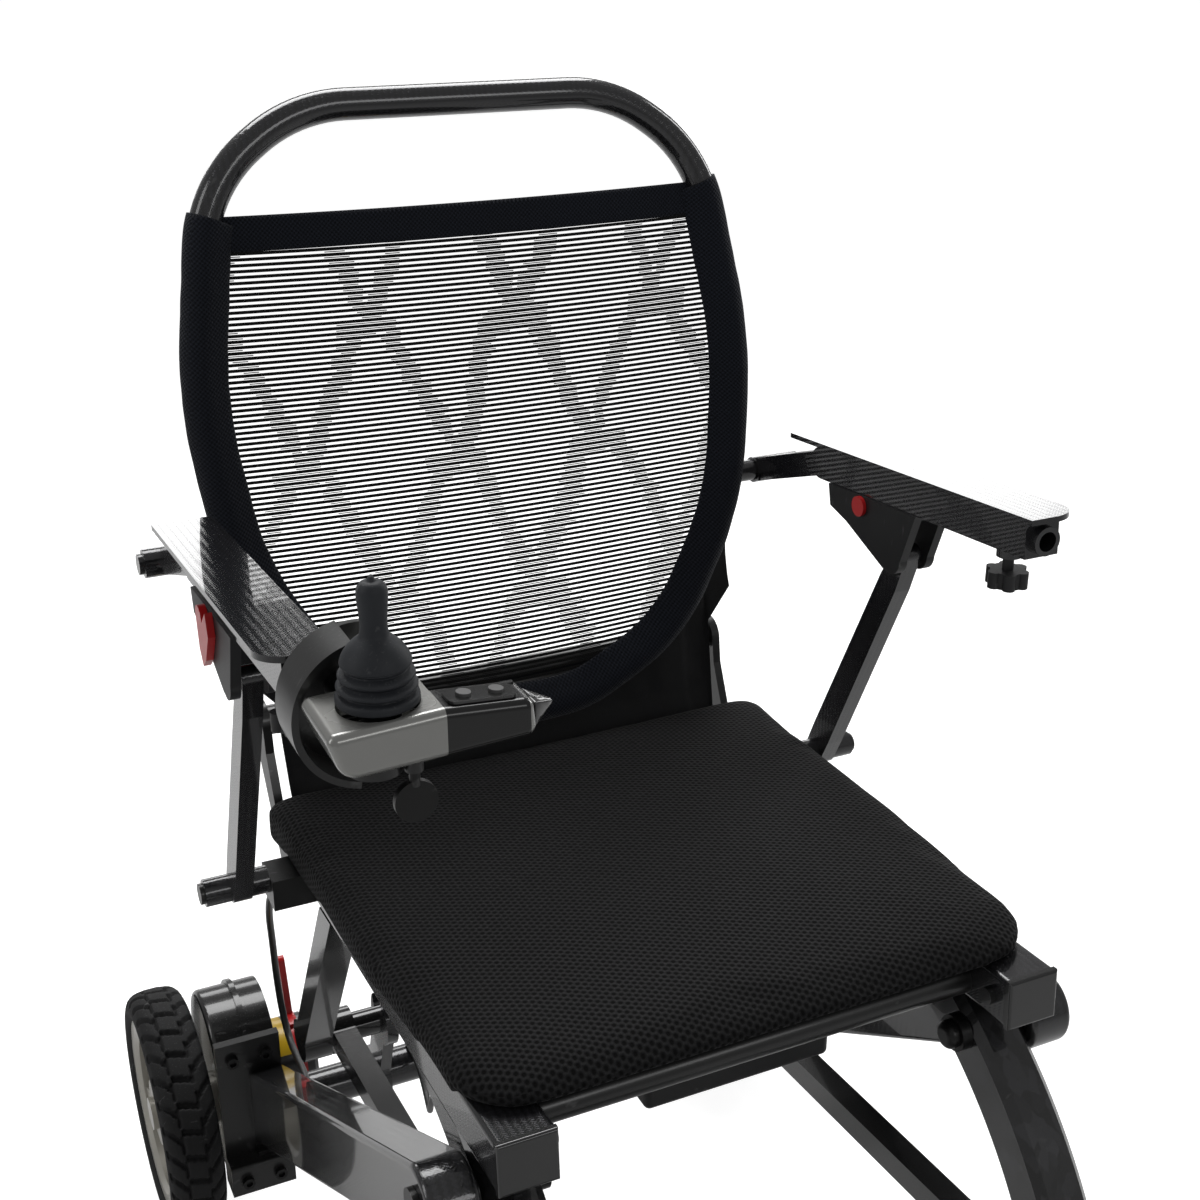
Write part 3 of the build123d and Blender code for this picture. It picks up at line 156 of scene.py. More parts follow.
# ---------------------------------------------------------------- shader effects
class Graph:
    """A node tree being wired: values may be numbers or other nodes' sockets."""

    def __init__(self, tree):
        self.tree = tree

    def node(self, kind, values=None, **settings):
        made = self.tree.nodes.new(kind)
        for name, value in settings.items():
            setattr(made, name, value)
        for name, value in (values or {}).items():
            self.put(made.inputs[name], value)
        return made

    def put(self, socket, value):
        if isinstance(value, bpy.types.NodeSocket):
            self.tree.links.new(value, socket)
        else:
            socket.default_value = value

    def math(self, operation, *values):
        made = self.tree.nodes.new("ShaderNodeMath")
        made.operation = operation
        for socket, value in zip(made.inputs, values):
            self.put(socket, value)
        return made.outputs[0]

    def pick(self, mask, low, high):
        """low where mask is 0, high where it is 1, for values."""
        made = self.tree.nodes.new("ShaderNodeMix")
        self.put(made.inputs[0], mask)
        self.put(made.inputs[2], low)
        self.put(made.inputs[3], high)
        return made.outputs[0]

    def tint(self, mask, low, high):
        """low where mask is 0, high where it is 1, for colours."""
        made = self.tree.nodes.new("ShaderNodeMix")
        made.data_type = "RGBA"
        self.put(made.inputs[0], mask)
        self.put(made.inputs[6], low)
        self.put(made.inputs[7], high)
        return made.outputs[2]

    def ramp(self, value, low, high, start, stop):
        """value mapped from low..high to start..stop, clamped."""
        made = self.node("ShaderNodeMapRange", {
            "Value": value, "From Min": low, "From Max": high, "To Min": start, "To Max": stop,
        })
        return made.outputs[0]

    def noise(self, scale, detail=3.0, where=None, output="Fac"):
        """Noise over the object's own coordinates, or over the ones given."""
        made = self.node("ShaderNodeTexNoise", {"Scale": scale, "Detail": detail})
        self.put(made.inputs["Vector"], where or self.node("ShaderNodeTexCoord").outputs["Object"])
        return made.outputs[output]


GROUPS = {}


def effect(name, inputs, outputs):
    """Registers a shader group: the function wires it once, and place() puts it in materials."""
    def keep(wire):
        tree = bpy.data.node_groups.new(name, "ShaderNodeTree")
        for label, kind, value in inputs:
            socket = tree.interface.new_socket(name=label, in_out="INPUT", socket_type=kind)
            socket.default_value = value
        for label, kind in outputs:
            tree.interface.new_socket(name=label, in_out="OUTPUT", socket_type=kind)
        graph = Graph(tree)
        start = tree.nodes.new("NodeGroupInput")
        end = tree.nodes.new("NodeGroupOutput")
        results = wire(graph, start.outputs)
        for label, value in results.items():
            graph.put(end.inputs[label], value)
        GROUPS[name] = tree
        return wire
    return keep


def place(graph, name, **values):
    """Puts a registered effect in a material; an underscore stands for a space in an input's name."""
    made = graph.node("ShaderNodeGroup", node_tree=GROUPS[name])
    for label, value in values.items():
        graph.put(made.inputs[label.replace("_", " ")], value)
    return made.outputs


FLOAT, COLOUR = "NodeSocketFloat", "NodeSocketColor"
DIAGONAL = 0.7071
TWILL_REPEAT = 4.0  # tows over two, then under two
TOW_ACROSS = 0.25  # light from a tow that lies across, against 1 from one that runs along
MOTTLE_SCALE = 9.0
SCUFF_SCALE, SCUFF_TURN = (60.0, 260.0, 60.0), (0.4, 0.5, 0.3)
SMEAR_SCALE, SPECK_SCALE = 14.0, 700.0
SMEAR_ROUGHNESS = 0.22
ROW_SPACING = 0.866  # rows of holes in a staggered net, against their pitch


@effect("surface_coordinates", [], [("U", FLOAT), ("V", FLOAT)])
def surface_coordinates(g, given):
    """The two coordinates that run along the face, in metres, chosen by where it points."""
    source = g.node("ShaderNodeTexCoord")
    spot = g.node("ShaderNodeSeparateXYZ", {"Vector": source.outputs["Object"]}).outputs
    facing = g.node("ShaderNodeSeparateXYZ", {"Vector": source.outputs["Normal"]}).outputs
    nx, ny, nz = (g.math("ABSOLUTE", facing[k]) for k in range(3))
    side = g.math("GREATER_THAN", nx, g.math("MAXIMUM", ny, nz))
    flat = g.math("GREATER_THAN", nz, ny)
    across = g.pick(side, spot[0], spot[1])
    along = g.pick(side, g.pick(flat, spot[2], spot[1]), spot[2])
    return {"U": across, "V": along}


@effect("carbon_twill", [("Tow", FLOAT, 0.002)], [("Lit", FLOAT), ("Height", FLOAT)])
def carbon_twill(g, given):
    """A two-by-two twill: tows that run along catch the light where those across don't. Lit is that light,
    painted into the colour as a sheen.
    """
    flat = place(g, "surface_coordinates")
    u = g.math("MULTIPLY", g.math("ADD", flat["U"], flat["V"]), DIAGONAL)
    v = g.math("MULTIPLY", g.math("SUBTRACT", flat["U"], flat["V"]), DIAGONAL)
    i = g.math("DIVIDE", u, given["Tow"])
    j = g.math("DIVIDE", v, given["Tow"])
    step = g.math("ADD", g.math("FLOOR", i), g.math("FLOOR", j))
    over = g.math("LESS_THAN", g.math("FLOORED_MODULO", step, TWILL_REPEAT), TWILL_REPEAT / 2)
    round_u = g.math("ABSOLUTE", g.math("SINE", g.math("MULTIPLY", i, math.pi)))
    round_v = g.math("ABSOLUTE", g.math("SINE", g.math("MULTIPLY", j, math.pi)))
    crown = g.pick(over, round_v, round_u)
    streak = g.noise(900.0, 1.0)
    lit = g.math("MULTIPLY", g.pick(over, TOW_ACROSS, 1.0), g.ramp(streak, 0.3, 0.7, 0.7, 1.0))
    return {"Lit": lit, "Height": crown}


@effect("fine_grain", [("Scale", FLOAT, 400.0)], [("Height", FLOAT), ("Mottle", FLOAT)])
def fine_grain(g, given):
    """A moulded or sprayed surface: fine texture, and slow changes over centimetres."""
    return {"Height": g.noise(given["Scale"], 4.0), "Mottle": g.noise(MOTTLE_SCALE, 3.0)}


@effect(
    "handling",
    [("Colour", COLOUR, (0, 0, 0, 1)), ("Worn", COLOUR, (0.1, 0.1, 0.1, 1)), ("Amount", FLOAT, 0.3),
     ("Roughness", FLOAT, 0.3)],
    [("Colour", COLOUR), ("Roughness", FLOAT)],
)
def handling(g, given):
    """Faint scuffs, fingermarks and settled dust."""
    source = g.node("ShaderNodeTexCoord")
    stretched = g.node("ShaderNodeMapping", {
        "Vector": source.outputs["Object"], "Scale": SCUFF_SCALE, "Rotation": SCUFF_TURN,
    }).outputs[0]
    scuff = g.ramp(g.noise(1.0, 5.0, stretched), 0.66, 0.74, 0.0, 1.0)
    smear = g.ramp(g.noise(SMEAR_SCALE, 4.0), 0.42, 0.68, 0.0, 1.0)
    up = g.node("ShaderNodeSeparateXYZ", {"Vector": source.outputs["Normal"]}).outputs[2]
    speck = g.ramp(g.noise(SPECK_SCALE, 2.0), 0.62, 0.7, 0.0, 1.0)
    dust = g.math("MULTIPLY", speck, g.ramp(up, 0.3, 1.0, 0.0, 0.5))
    mask = g.math("MULTIPLY", g.math("MAXIMUM", scuff, dust), given["Amount"])
    dulled = g.math("MULTIPLY", smear, g.math("MULTIPLY", given["Amount"], SMEAR_ROUGHNESS))
    rough = g.math("ADD", given["Roughness"], dulled)
    return {"Colour": g.tint(mask, given["Colour"], given["Worn"]), "Roughness": rough}


@effect("plain_weave", [("Pitch", FLOAT, 0.002)], [("Thread", FLOAT), ("Height", FLOAT)])
def plain_weave(g, given):
    """Warp and weft passing over each other, in rows offset by half a pitch."""
    flat = place(g, "surface_coordinates")
    turn = g.math("DIVIDE", 2 * math.pi, given["Pitch"])
    a = g.math("SINE", g.math("MULTIPLY", flat["U"], turn))
    b = g.math("SINE", g.math("MULTIPLY", flat["V"], turn))
    height = g.ramp(g.math("MULTIPLY", a, b), -1.0, 1.0, 0.0, 1.0)
    fuzz = g.noise(1500.0, 2.0)
    return {"Thread": g.math("MULTIPLY", height, g.ramp(fuzz, 0.3, 0.7, 0.75, 1.1)), "Height": height}


@effect("air_mesh", [("Pitch", FLOAT, 0.006)], [("Thread", FLOAT), ("Height", FLOAT)])
def air_mesh(g, given):
    """A spacer knit: staggered oval holes between round ribs."""
    flat = place(g, "surface_coordinates")
    turn = g.math("DIVIDE", 2 * math.pi, given["Pitch"])
    u = g.math("MULTIPLY", flat["U"], turn)
    v = g.math("MULTIPLY", flat["V"], turn)
    half_u = g.math("MULTIPLY", u, 0.5)
    tall_v = g.math("MULTIPLY", v, ROW_SPACING)
    waves = [
        g.math("COSINE", u),
        g.math("COSINE", g.math("ADD", half_u, tall_v)),
        g.math("COSINE", g.math("SUBTRACT", half_u, tall_v)),
    ]
    total = g.math("ADD", g.math("ADD", waves[0], waves[1]), waves[2])
    height = g.ramp(total, -1.5, 1.6, 1.0, 0.0)
    yarn = g.noise(1300.0, 3.0)
    return {"Thread": g.math("MULTIPLY", height, g.ramp(yarn, 0.3, 0.7, 0.6, 1.15)), "Height": height}


# ---------------------------------------------------------------- materials
PAINT_WORN, CARBON_WORN = 0.22, 0.2  # how pale a scuff is
PAINT_COAT_ROUGHNESS, LACQUER_ROUGHNESS = 0.06, 0.04
CARBON_METAL = 0.1
FLAKE_SCALE, FLAKE_BEND = (150.0, 60.0, 90.0), 0.012
CLOTH_SHEEN_ROUGHNESS, CLOTH_SPECULAR = 0.5, 0.25
FADE_SCALE, FADE_MOST = 6.0, 0.35
PATCH_YELLOW = (0.72, 0.46, 0.015, 1)


def new_material(name):
    made = bpy.data.materials.new(name)
    made.use_nodes = True
    graph = Graph(made.node_tree)
    return made, graph, made.node_tree.nodes["Principled BSDF"]


def bump(g, shader, height, depth):
    raised = g.node("ShaderNodeBump", {"Height": height, "Strength": 1.0, "Distance": depth})
    g.put(shader.inputs["Normal"], raised.outputs[0])


def grey(value, blue=0.0):
    return (value, value, value + blue, 1)


def handled(g, shader, colour, worn, amount, roughness):
    """Lays scuffs, smears and dust over a colour."""
    used = place(g, "handling", Colour=colour, Worn=grey(worn), Amount=amount, Roughness=roughness)
    g.put(shader.inputs["Base Color"], used["Colour"])
    g.put(shader.inputs["Roughness"], used["Roughness"])


def coated(name, low, high, roughness, grain, worn=0.25, coat=0.0, metallic=0.0, depth=0.00004,
           specular=0.5):
    """Paint, plating or moulded plastic: a mottled colour, fine grain and light handling marks."""
    made, g, shader = new_material(name)
    texture = place(g, "fine_grain", Scale=grain)
    handled(g, shader, g.tint(texture["Mottle"], low, high), PAINT_WORN, worn, roughness)
    shader.inputs["Metallic"].default_value = metallic
    shader.inputs["Coat Weight"].default_value = coat
    shader.inputs["Coat Roughness"].default_value = PAINT_COAT_ROUGHNESS
    shader.inputs["Specular IOR Level"].default_value = specular
    bump(g, shader, texture["Height"], depth)
    return made


def lacquered(g, shader, colour, lit, shine, roughness, worn):
    """Clear lacquer over carbon, where the tows that catch the light shine like metal."""
    handled(g, shader, colour, CARBON_WORN, worn, roughness)
    g.put(shader.inputs["Metallic"], g.ramp(lit, 0.0, 1.0, CARBON_METAL, shine))
    shader.inputs["Coat Weight"].default_value = 1.0
    shader.inputs["Coat Roughness"].default_value = LACQUER_ROUGHNESS


def carbon(name, tow, dark, light, roughness, worn=0.2):
    """Woven carbon under a clear lacquer, with a painted sheen: the tows that catch the light get the
    lighter colour.
    """
    made, g, shader = new_material(name)
    weave = place(g, "carbon_twill", Tow=tow)
    # Painted sheen: the lit tows get the lighter colour, the others the darker.
    colour = g.tint(weave["Lit"], grey(dark), grey(light, 0.004))
    lacquered(g, shader, colour, weave["Lit"], 0.5, roughness, worn)
    bump(g, shader, weave["Height"], 0.00005)
    return made


def chopped_carbon(name):
    """Pressed flakes of chopped tow, each lying its own way; the flakes that catch the light get a painted
    sheen in the colour.
    """
    made, g, shader = new_material(name)
    bent = g.node("ShaderNodeVectorMath", operation="ADD")
    g.put(bent.inputs[0], g.node("ShaderNodeTexCoord").outputs["Object"])
    wobble = g.node("ShaderNodeVectorMath", operation="SCALE")
    g.put(wobble.inputs[0], g.noise(60.0, 2.0, output="Color"))
    wobble.inputs["Scale"].default_value = FLAKE_BEND
    g.put(bent.inputs[1], wobble.outputs[0])
    flakes = g.node("ShaderNodeMapping", {"Vector": bent.outputs[0], "Scale": FLAKE_SCALE}).outputs[0]
    cells = g.node("ShaderNodeTexVoronoi", {"Vector": flakes, "Scale": 1.0, "Randomness": 1.0})
    lit = g.node("ShaderNodeSeparateXYZ", {"Vector": cells.outputs["Color"]}).outputs[0]
    lit = g.math("POWER", lit, 2.0)
    # Painted sheen: the lit flakes get the lighter colour.
    lacquered(g, shader, g.tint(lit, grey(0.006), grey(0.055, 0.004)), lit, 0.6, 0.22, 0.15)
    bump(g, shader, lit, 0.00003)
    return made


def cloth(name, kind, pitch, dark, light, depth, sheen, roughness=0.9):
    """A woven or knitted cloth, with its threads in the colour and the height: the colour is a painted
    shade, darker in the gaps and holes between the threads and lighter on their crowns.
    """
    made, g, shader = new_material(name)
    weave = place(g, kind, Pitch=pitch)
    faded = g.ramp(g.noise(FADE_SCALE, 3.0), 0.35, 0.75, 0.0, FADE_MOST)
    deeper = tuple(0.5 * c for c in dark[:3]) + (1,)
    # Painted shade: the gaps and holes between the threads get the darker colour.
    colour = g.tint(faded, g.tint(weave["Thread"], dark, light), deeper)
    g.put(shader.inputs["Base Color"], colour)
    g.put(shader.inputs["Roughness"], g.ramp(weave["Thread"], 0.0, 1.0, 1.0, roughness - 0.2))
    shader.inputs["Sheen Weight"].default_value = sheen
    shader.inputs["Sheen Roughness"].default_value = CLOTH_SHEEN_ROUGHNESS
    shader.inputs["Specular IOR Level"].default_value = CLOTH_SPECULAR
    bump(g, shader, weave["Height"], depth)
    return made


def banded(name, base, inner, outer, colour, above=None):
    """Copies a finish and gives another colour to the band that lies inner to outer from the middle."""
    made = base.copy()
    made.name = name
    g = Graph(made.node_tree)
    shader = made.node_tree.nodes["Principled BSDF"]
    source = g.node("ShaderNodeTexCoord").outputs["Object"]
    across, _, height = g.node("ShaderNodeSeparateXYZ", {"Vector": source}).outputs
    out = g.math("ABSOLUTE", across)
    inside = g.math("MULTIPLY", g.math("GREATER_THAN", out, inner), g.math("LESS_THAN", out, outer))
    if above is not None:
        inside = g.math("MULTIPLY", inside, g.math("GREATER_THAN", height, above))
    before = shader.inputs["Base Color"].links[0].from_socket
    g.put(shader.inputs["Base Color"], g.tint(inside, before, colour))
    return made


def make_materials():
    black = coated("black_lacquer", grey(0.008), grey(0.014), 0.16, 300.0, coat=0.8)
    motor = coated("motor_black", grey(0.012), grey(0.02), 0.3, 500.0, coat=0.3)
    alloy = coated("black_alloy", grey(0.010), grey(0.018), 0.28, 420.0, coat=0.25)
    silver = coated("silver_shell", (0.30, 0.30, 0.285, 1), (0.36, 0.36, 0.345, 1), 0.26, 900.0,
                    worn=0.12, coat=0.7, metallic=0.55, depth=0.00001)
    return {
        # Each carbon: tow width, its own dark colour, then the lighter colour of its painted sheen, and
        # roughness.
        "beam_carbon": carbon("beam_carbon", 0.0022, 0.010, 0.045, 0.2),
        "tube_carbon": carbon("tube_carbon", 0.0017, 0.008, 0.035, 0.16),
        "plate_carbon": carbon("plate_carbon", 0.0019, 0.010, 0.03, 0.13, worn=0.12),
        "leg_carbon": chopped_carbon("leg_carbon"),
        "black_lacquer": black,
        "black_alloy": alloy,
        "black_steel": coated("black_steel", grey(0.02), grey(0.035), 0.3, 700.0, metallic=0.7),
        "black_moulding": coated("black_moulding", grey(0.012, 0.001), grey(0.02, 0.001), 0.42, 1100.0,
                                 depth=0.00008),
        "gear_case": coated("gear_case", grey(0.010), grey(0.016), 0.2, 350.0, coat=0.6),
        "motor_can": banded("motor_can", motor, 0.187, 0.2035, PATCH_YELLOW, above=0.158),
        "tyre_rubber": coated("tyre_rubber", grey(0.012), grey(0.022, 0.001), 0.7, 900.0, worn=0.3,
                              depth=0.00015, specular=0.25),
        "rim_paint": coated("rim_paint", (0.42, 0.405, 0.36, 1), (0.5, 0.48, 0.43, 1), 0.3, 800.0,
                            worn=0.2, coat=0.25, metallic=0.35),
        "red_plastic": coated("red_plastic", (0.52, 0.010, 0.012, 1), (0.68, 0.016, 0.018, 1), 0.3, 600.0,
                              worn=0.15, coat=0.3),
        "silver_shell": banded("pod_shell", silver, 0.1695, 0.2155, grey(0.010)),
        "panel_gloss": coated("panel_gloss", grey(0.02), grey(0.03), 0.12, 500.0, coat=0.9, worn=0.1),
        "button_grey": coated("button_grey", grey(0.09), grey(0.12), 0.45, 900.0),
        "soft_rubber": coated("soft_rubber", (0.016, 0.018, 0.022, 1), (0.028, 0.031, 0.037, 1), 0.52,
                              1500.0, worn=0.35, depth=0.00006, specular=0.4),
        "cable_jacket": coated("cable_jacket", grey(0.012), grey(0.018), 0.36, 700.0),
        # Cloth colours: first in the gaps between the threads, as painted shade, then on the thread
        # crowns.
        "seat_knit": cloth("seat_knit", "air_mesh", 0.0041, grey(0.001), grey(0.0115, 0.001), 0.0007,
                           sheen=0.02),
        "stripe_yarn": cloth("stripe_yarn", "plain_weave", 0.0024, grey(0.002), grey(0.009), 0.0003,
                             sheen=0.05),
        "border_weave": cloth("border_weave", "plain_weave", 0.0034, (0.0025, 0.003, 0.005, 1),
                              (0.014, 0.018, 0.030, 1), 0.0006, sheen=0.08),
        "flap_nylon": cloth("flap_nylon", "plain_weave", 0.0011, grey(0.006), grey(0.02, 0.002), 0.00012,
                            sheen=0.1, roughness=0.55),
    }


FINISHES = {
    "beam_carbon": ["main_beam_left", "main_beam_right", "rear_crossbar"],
    "tube_carbon": ["seat_tube_left", "seat_tube_right", "back_tube", "arm_link_left", "arm_link_right"],
    "plate_carbon": ["armrest_left", "armrest_right"],
    "leg_carbon": ["front_leg_left", "front_leg_right"],
    "black_lacquer": ["seat_struts", "caster_fork_left", "caster_fork_right", "footplate_hangers",
                      "tube_caps"],
    "black_alloy": ["motor_brackets", "caster_heads", "link_brackets", "back_hinge", "back_brackets",
                    "seat_cross_tubes", "control_arm"],
    "black_steel": ["bracket_screws", "fold_bolts", "thumb_screw", "joystick_gimbal"],
    "black_moulding": ["arm_bracket_left", "arm_bracket_right", "clamp_knob_left", "clamp_knob_right",
                       "battery_case", "footplate"],
    "gear_case": ["gearboxes"],
    "motor_can": ["drive_motors"],
    "tyre_rubber": ["caster_tyre_left", "caster_tyre_right"],
    "rim_paint": ["rear_rim_left", "rear_rim_right", "caster_hub_left", "caster_hub_right"],
    "red_plastic": ["brake_lever_left", "brake_lever_right", "release_lever_left", "release_lever_right"],
    "silver_shell": ["control_housing"],
    "panel_gloss": ["display_panel"],
    "button_grey": ["power_button", "horn_button"],
}


def finish_nodes(paints):
    for finish, names in FINISHES.items():
        for name in names:
            for held in NODES[name].material_slots:
                held.material = paints[finish]


# ---------------------------------------------------------------- mesh helpers
def object_from(name, points, faces, material, smooth=True):
    mesh = bpy.data.meshes.new(name)
    mesh.from_pydata([tuple(p) for p in points], [], faces)
    mesh.update()
    made = bpy.data.objects.new(name, mesh)
    bpy.context.scene.collection.objects.link(made)
    mesh.materials.append(material)
    if smooth:
        mesh.shade_smooth()
    return made


def grid_faces(rows, columns, closed_rows=False, closed_columns=False):
    """Quads over points stored row by row; closed_rows joins the last row to the first."""
    faces = []
    for i in range(rows if closed_rows else rows - 1):
        for j in range(columns if closed_columns else columns - 1):
            a, b = i % rows, (i + 1) % rows
            c, d = j % columns, (j + 1) % columns
            faces.append((a * columns + c, a * columns + d, b * columns + d, b * columns + c))
    return faces


def apply_modifiers(piece):
    graph = bpy.context.evaluated_depsgraph_get()
    graph.update()
    mesh = bpy.data.meshes.new_from_object(piece.evaluated_get(graph))
    piece.modifiers.clear()
    old = piece.data
    piece.data = mesh
    bpy.data.meshes.remove(old)


def positions(piece):
    flat = np.empty(len(piece.data.vertices) * 3)
    piece.data.vertices.foreach_get("co", flat)
    return flat.reshape(-1, 3)


def set_positions(piece, points):
    piece.data.vertices.foreach_set("co", points.ravel())
    piece.data.update()


def lathe(name, centre, profile, turns, material):
    """Turns a closed profile of (radius, height) round an upright line at centre."""
    points = []
    for k in range(turns):
        angle = 2 * math.pi * k / turns
        for radius, height in profile:
            points.append((
                centre[0] + radius * math.cos(angle),
                centre[1] + radius * math.sin(angle),
                centre[2] + height,
            ))
    return object_from(name, points, grid_faces(turns, len(profile), True, True), material)


def tidy_normals(piece):
    shape = bmesh.new()
    shape.from_mesh(piece.data)
    bmesh.ops.recalc_face_normals(shape, faces=shape.faces)
    shape.to_mesh(piece.data)
    shape.free()


# ---------------------------------------------------------------- drive tyres
TREAD_PITCHES = 30
TREAD_STEPS = 16
TREAD_DEPTH = 4.2 * MM
SHOULDER, SHOULDER_FADE = 0.9, 0.03  # the tread starts here, and is full depth this much further out
# Shares of the tread's half width.
RIB_EDGE, LUG_START, LUG_NARROWS, LUG_END = 0.34, 0.42, 0.85, 0.97
# Shares of a pitch.
LUG_LEAN, LUG_GAP, LUG_OUTER_GAP = 1.15, 0.24, 0.34
RIB_BRIDGE = (0.55, 0.85)
CENTRE_SHIFT, CENTRE_LEAN, CENTRE_GAP = 0.25, 0.3, 0.22
LUG_BEVEL = 0.0004
TYRE_PROFILE = [
    (0.10, 0.777), (0.03, 0.814), (0.0, 0.858), (0.01, 0.89), (0.03, 0.918), (0.06, 0.944), (0.11, 0.966),
    (0.17, 0.982), (0.24, 0.991), (0.31, 0.996), (0.38, 1.0), (0.46, 1.0), (0.54, 1.0), (0.62, 1.0),
    (0.69, 0.996), (0.76, 0.991), (0.83, 0.982), (0.89, 0.966), (0.94, 0.944), (0.97, 0.918), (0.99, 0.89),
    (1.0, 0.858), (0.97, 0.814), (0.90, 0.777),
]


def tread_height(turn, across):
    """1 on a tread block and 0 in a groove; turn counts pitches, across runs -1 to 1."""
    distance = abs(across)
    stagger = 0.5 if across > 0 else 0.0
    phase = (turn + stagger + LUG_LEAN * distance) % 1.0
    if distance > LUG_END:
        return 0.0
    if distance > LUG_START:
        gap = LUG_GAP if distance < LUG_NARROWS else LUG_OUTER_GAP
        return 1.0 if phase > gap else 0.0
    if distance > RIB_EDGE:
        return 1.0 if RIB_BRIDGE[0] < phase < RIB_BRIDGE[1] else 0.0
    phase = (turn + CENTRE_SHIFT + CENTRE_LEAN * across) % 1.0
    return 1.0 if phase > CENTRE_GAP else 0.0


def drive_tyre(side, sign, paints):
    node = f"rear_tyre_{side}"
    low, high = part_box(node)
    outer = (high.z - low.z) / 2
    centre_y, centre_z = (low.y + high.y) / 2, (low.z + high.z) / 2
    fine = []
    for (a, ra), (b, rb) in zip(TYRE_PROFILE, TYRE_PROFILE[1:]):
        for k in range(2):
            fine.append((a + (b - a) * k / 2, ra + (rb - ra) * k / 2))
    fine.append(TYRE_PROFILE[-1])
    around = TREAD_PITCHES * TREAD_STEPS
    points = []
    for i in range(around):
        angle = 2 * math.pi * i / around
        for share, size in fine:
            across = 2 * share - 1
            radius = size * outer
            grip = tread_height(i / TREAD_STEPS, across * 1.02) if size > SHOULDER else 1.0
            fade = min(1.0, max(0.0, (size - SHOULDER) / SHOULDER_FADE))
            radius -= TREAD_DEPTH * (1 - grip) * fade
            x = low.x + share * (high.x - low.x)
            if sign < 0:
                x = high.x - share * (high.x - low.x)
            points.append((x, centre_y + radius * math.cos(angle), centre_z + radius * math.sin(angle)))
    tyre = object_from(f"tread_tyre_{side}", points, grid_faces(around, len(fine), True, True),
                       paints["tyre_rubber"], smooth=False)
    tidy_normals(tyre)
    tyre.data.shade_smooth()
    edges = tyre.modifiers.new("edges", "BEVEL")
    edges.width = LUG_BEVEL
    edges.limit_method = "ANGLE"
    edges.angle_limit = math.radians(50)
    edges.segments = 1
    apply_modifiers(tyre)
    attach(tyre, f"rear_wheel_{side}")
    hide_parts(node)


# ---------------------------------------------------------------- seat cushion
EDGE_ROLL = 12 * MM
CROWN, CROWN_REACH = 5.5 * MM, 0.15
PAD_FRONT, PAD_GROWTH = 13, 14  # thickness in millimetres, and what it gains towards the rear
PAD_GRAIN = 5.5 * MM
PAD_SHRINK = 0.985
PAD_PRESSURE, PAD_GIVE = 4.0, 6 * MM
FRONT_SLOPE, FRONT_DROOP = 0.07, 3 * MM
RIPPLE, SLACK = 1.1 * MM, 1.2 * MM
WAIST = 4 * MM
SWELL_FRAMES = 20
CLOTH_TENSION, CLOTH_BENDING, CLOTH_QUALITY = 15, 4, 6
FRONT_CORNER = 50 * MM
REAR_CORNER = 18 * MM
TAPER_Y = 20 * MM
TAPER = 16 * MM


def inset_from_edge(x, y, low, high):
    """How far a point lies inside the cushion's rounded outline, seen from above."""
    mid_x, mid_y = (low.x + high.x) / 2, (low.y + high.y) / 2
    narrow = np.clip((TAPER_Y - y) / (TAPER_Y - low.y), 0, 1) * TAPER
    half_x, half_y = (high.x - low.x) / 2 - narrow, (high.y - low.y) / 2
    corner = np.where(y < mid_y, FRONT_CORNER, REAR_CORNER)
    dx = np.abs(x - mid_x) - half_x + corner
    dy = np.abs(y - mid_y) - half_y + corner
    outside = np.hypot(np.maximum(dx, 0), np.maximum(dy, 0)) + np.minimum(np.maximum(dx, dy), 0)
    return corner - outside


def swell(piece, pressure, cap):
    """Inflates a closed piece as cloth, and keeps every point within cap of where it began."""
    before = positions(piece).copy()
    cloth_mod = piece.modifiers.new("cloth", "CLOTH")
    settings = cloth_mod.settings
    settings.use_pressure = True
    settings.uniform_pressure_force = pressure
    settings.effector_weights.gravity = 0
    settings.tension_stiffness = CLOTH_TENSION
    settings.compression_stiffness = CLOTH_TENSION
    settings.bending_stiffness = CLOTH_BENDING
    settings.quality = CLOTH_QUALITY
    cloth_mod.point_cache.frame_start = 1
    cloth_mod.point_cache.frame_end = SWELL_FRAMES
    scene = bpy.context.scene
    for step in range(1, SWELL_FRAMES + 1):
        scene.frame_set(step)
    apply_modifiers(piece)
    after = positions(piece)
    moved = after - before
    size = np.maximum(np.linalg.norm(moved, axis=1, keepdims=True), 1e-9)
    after = before + moved * np.minimum(1, cap / size)
    set_positions(piece, after)
    scene.frame_set(1)


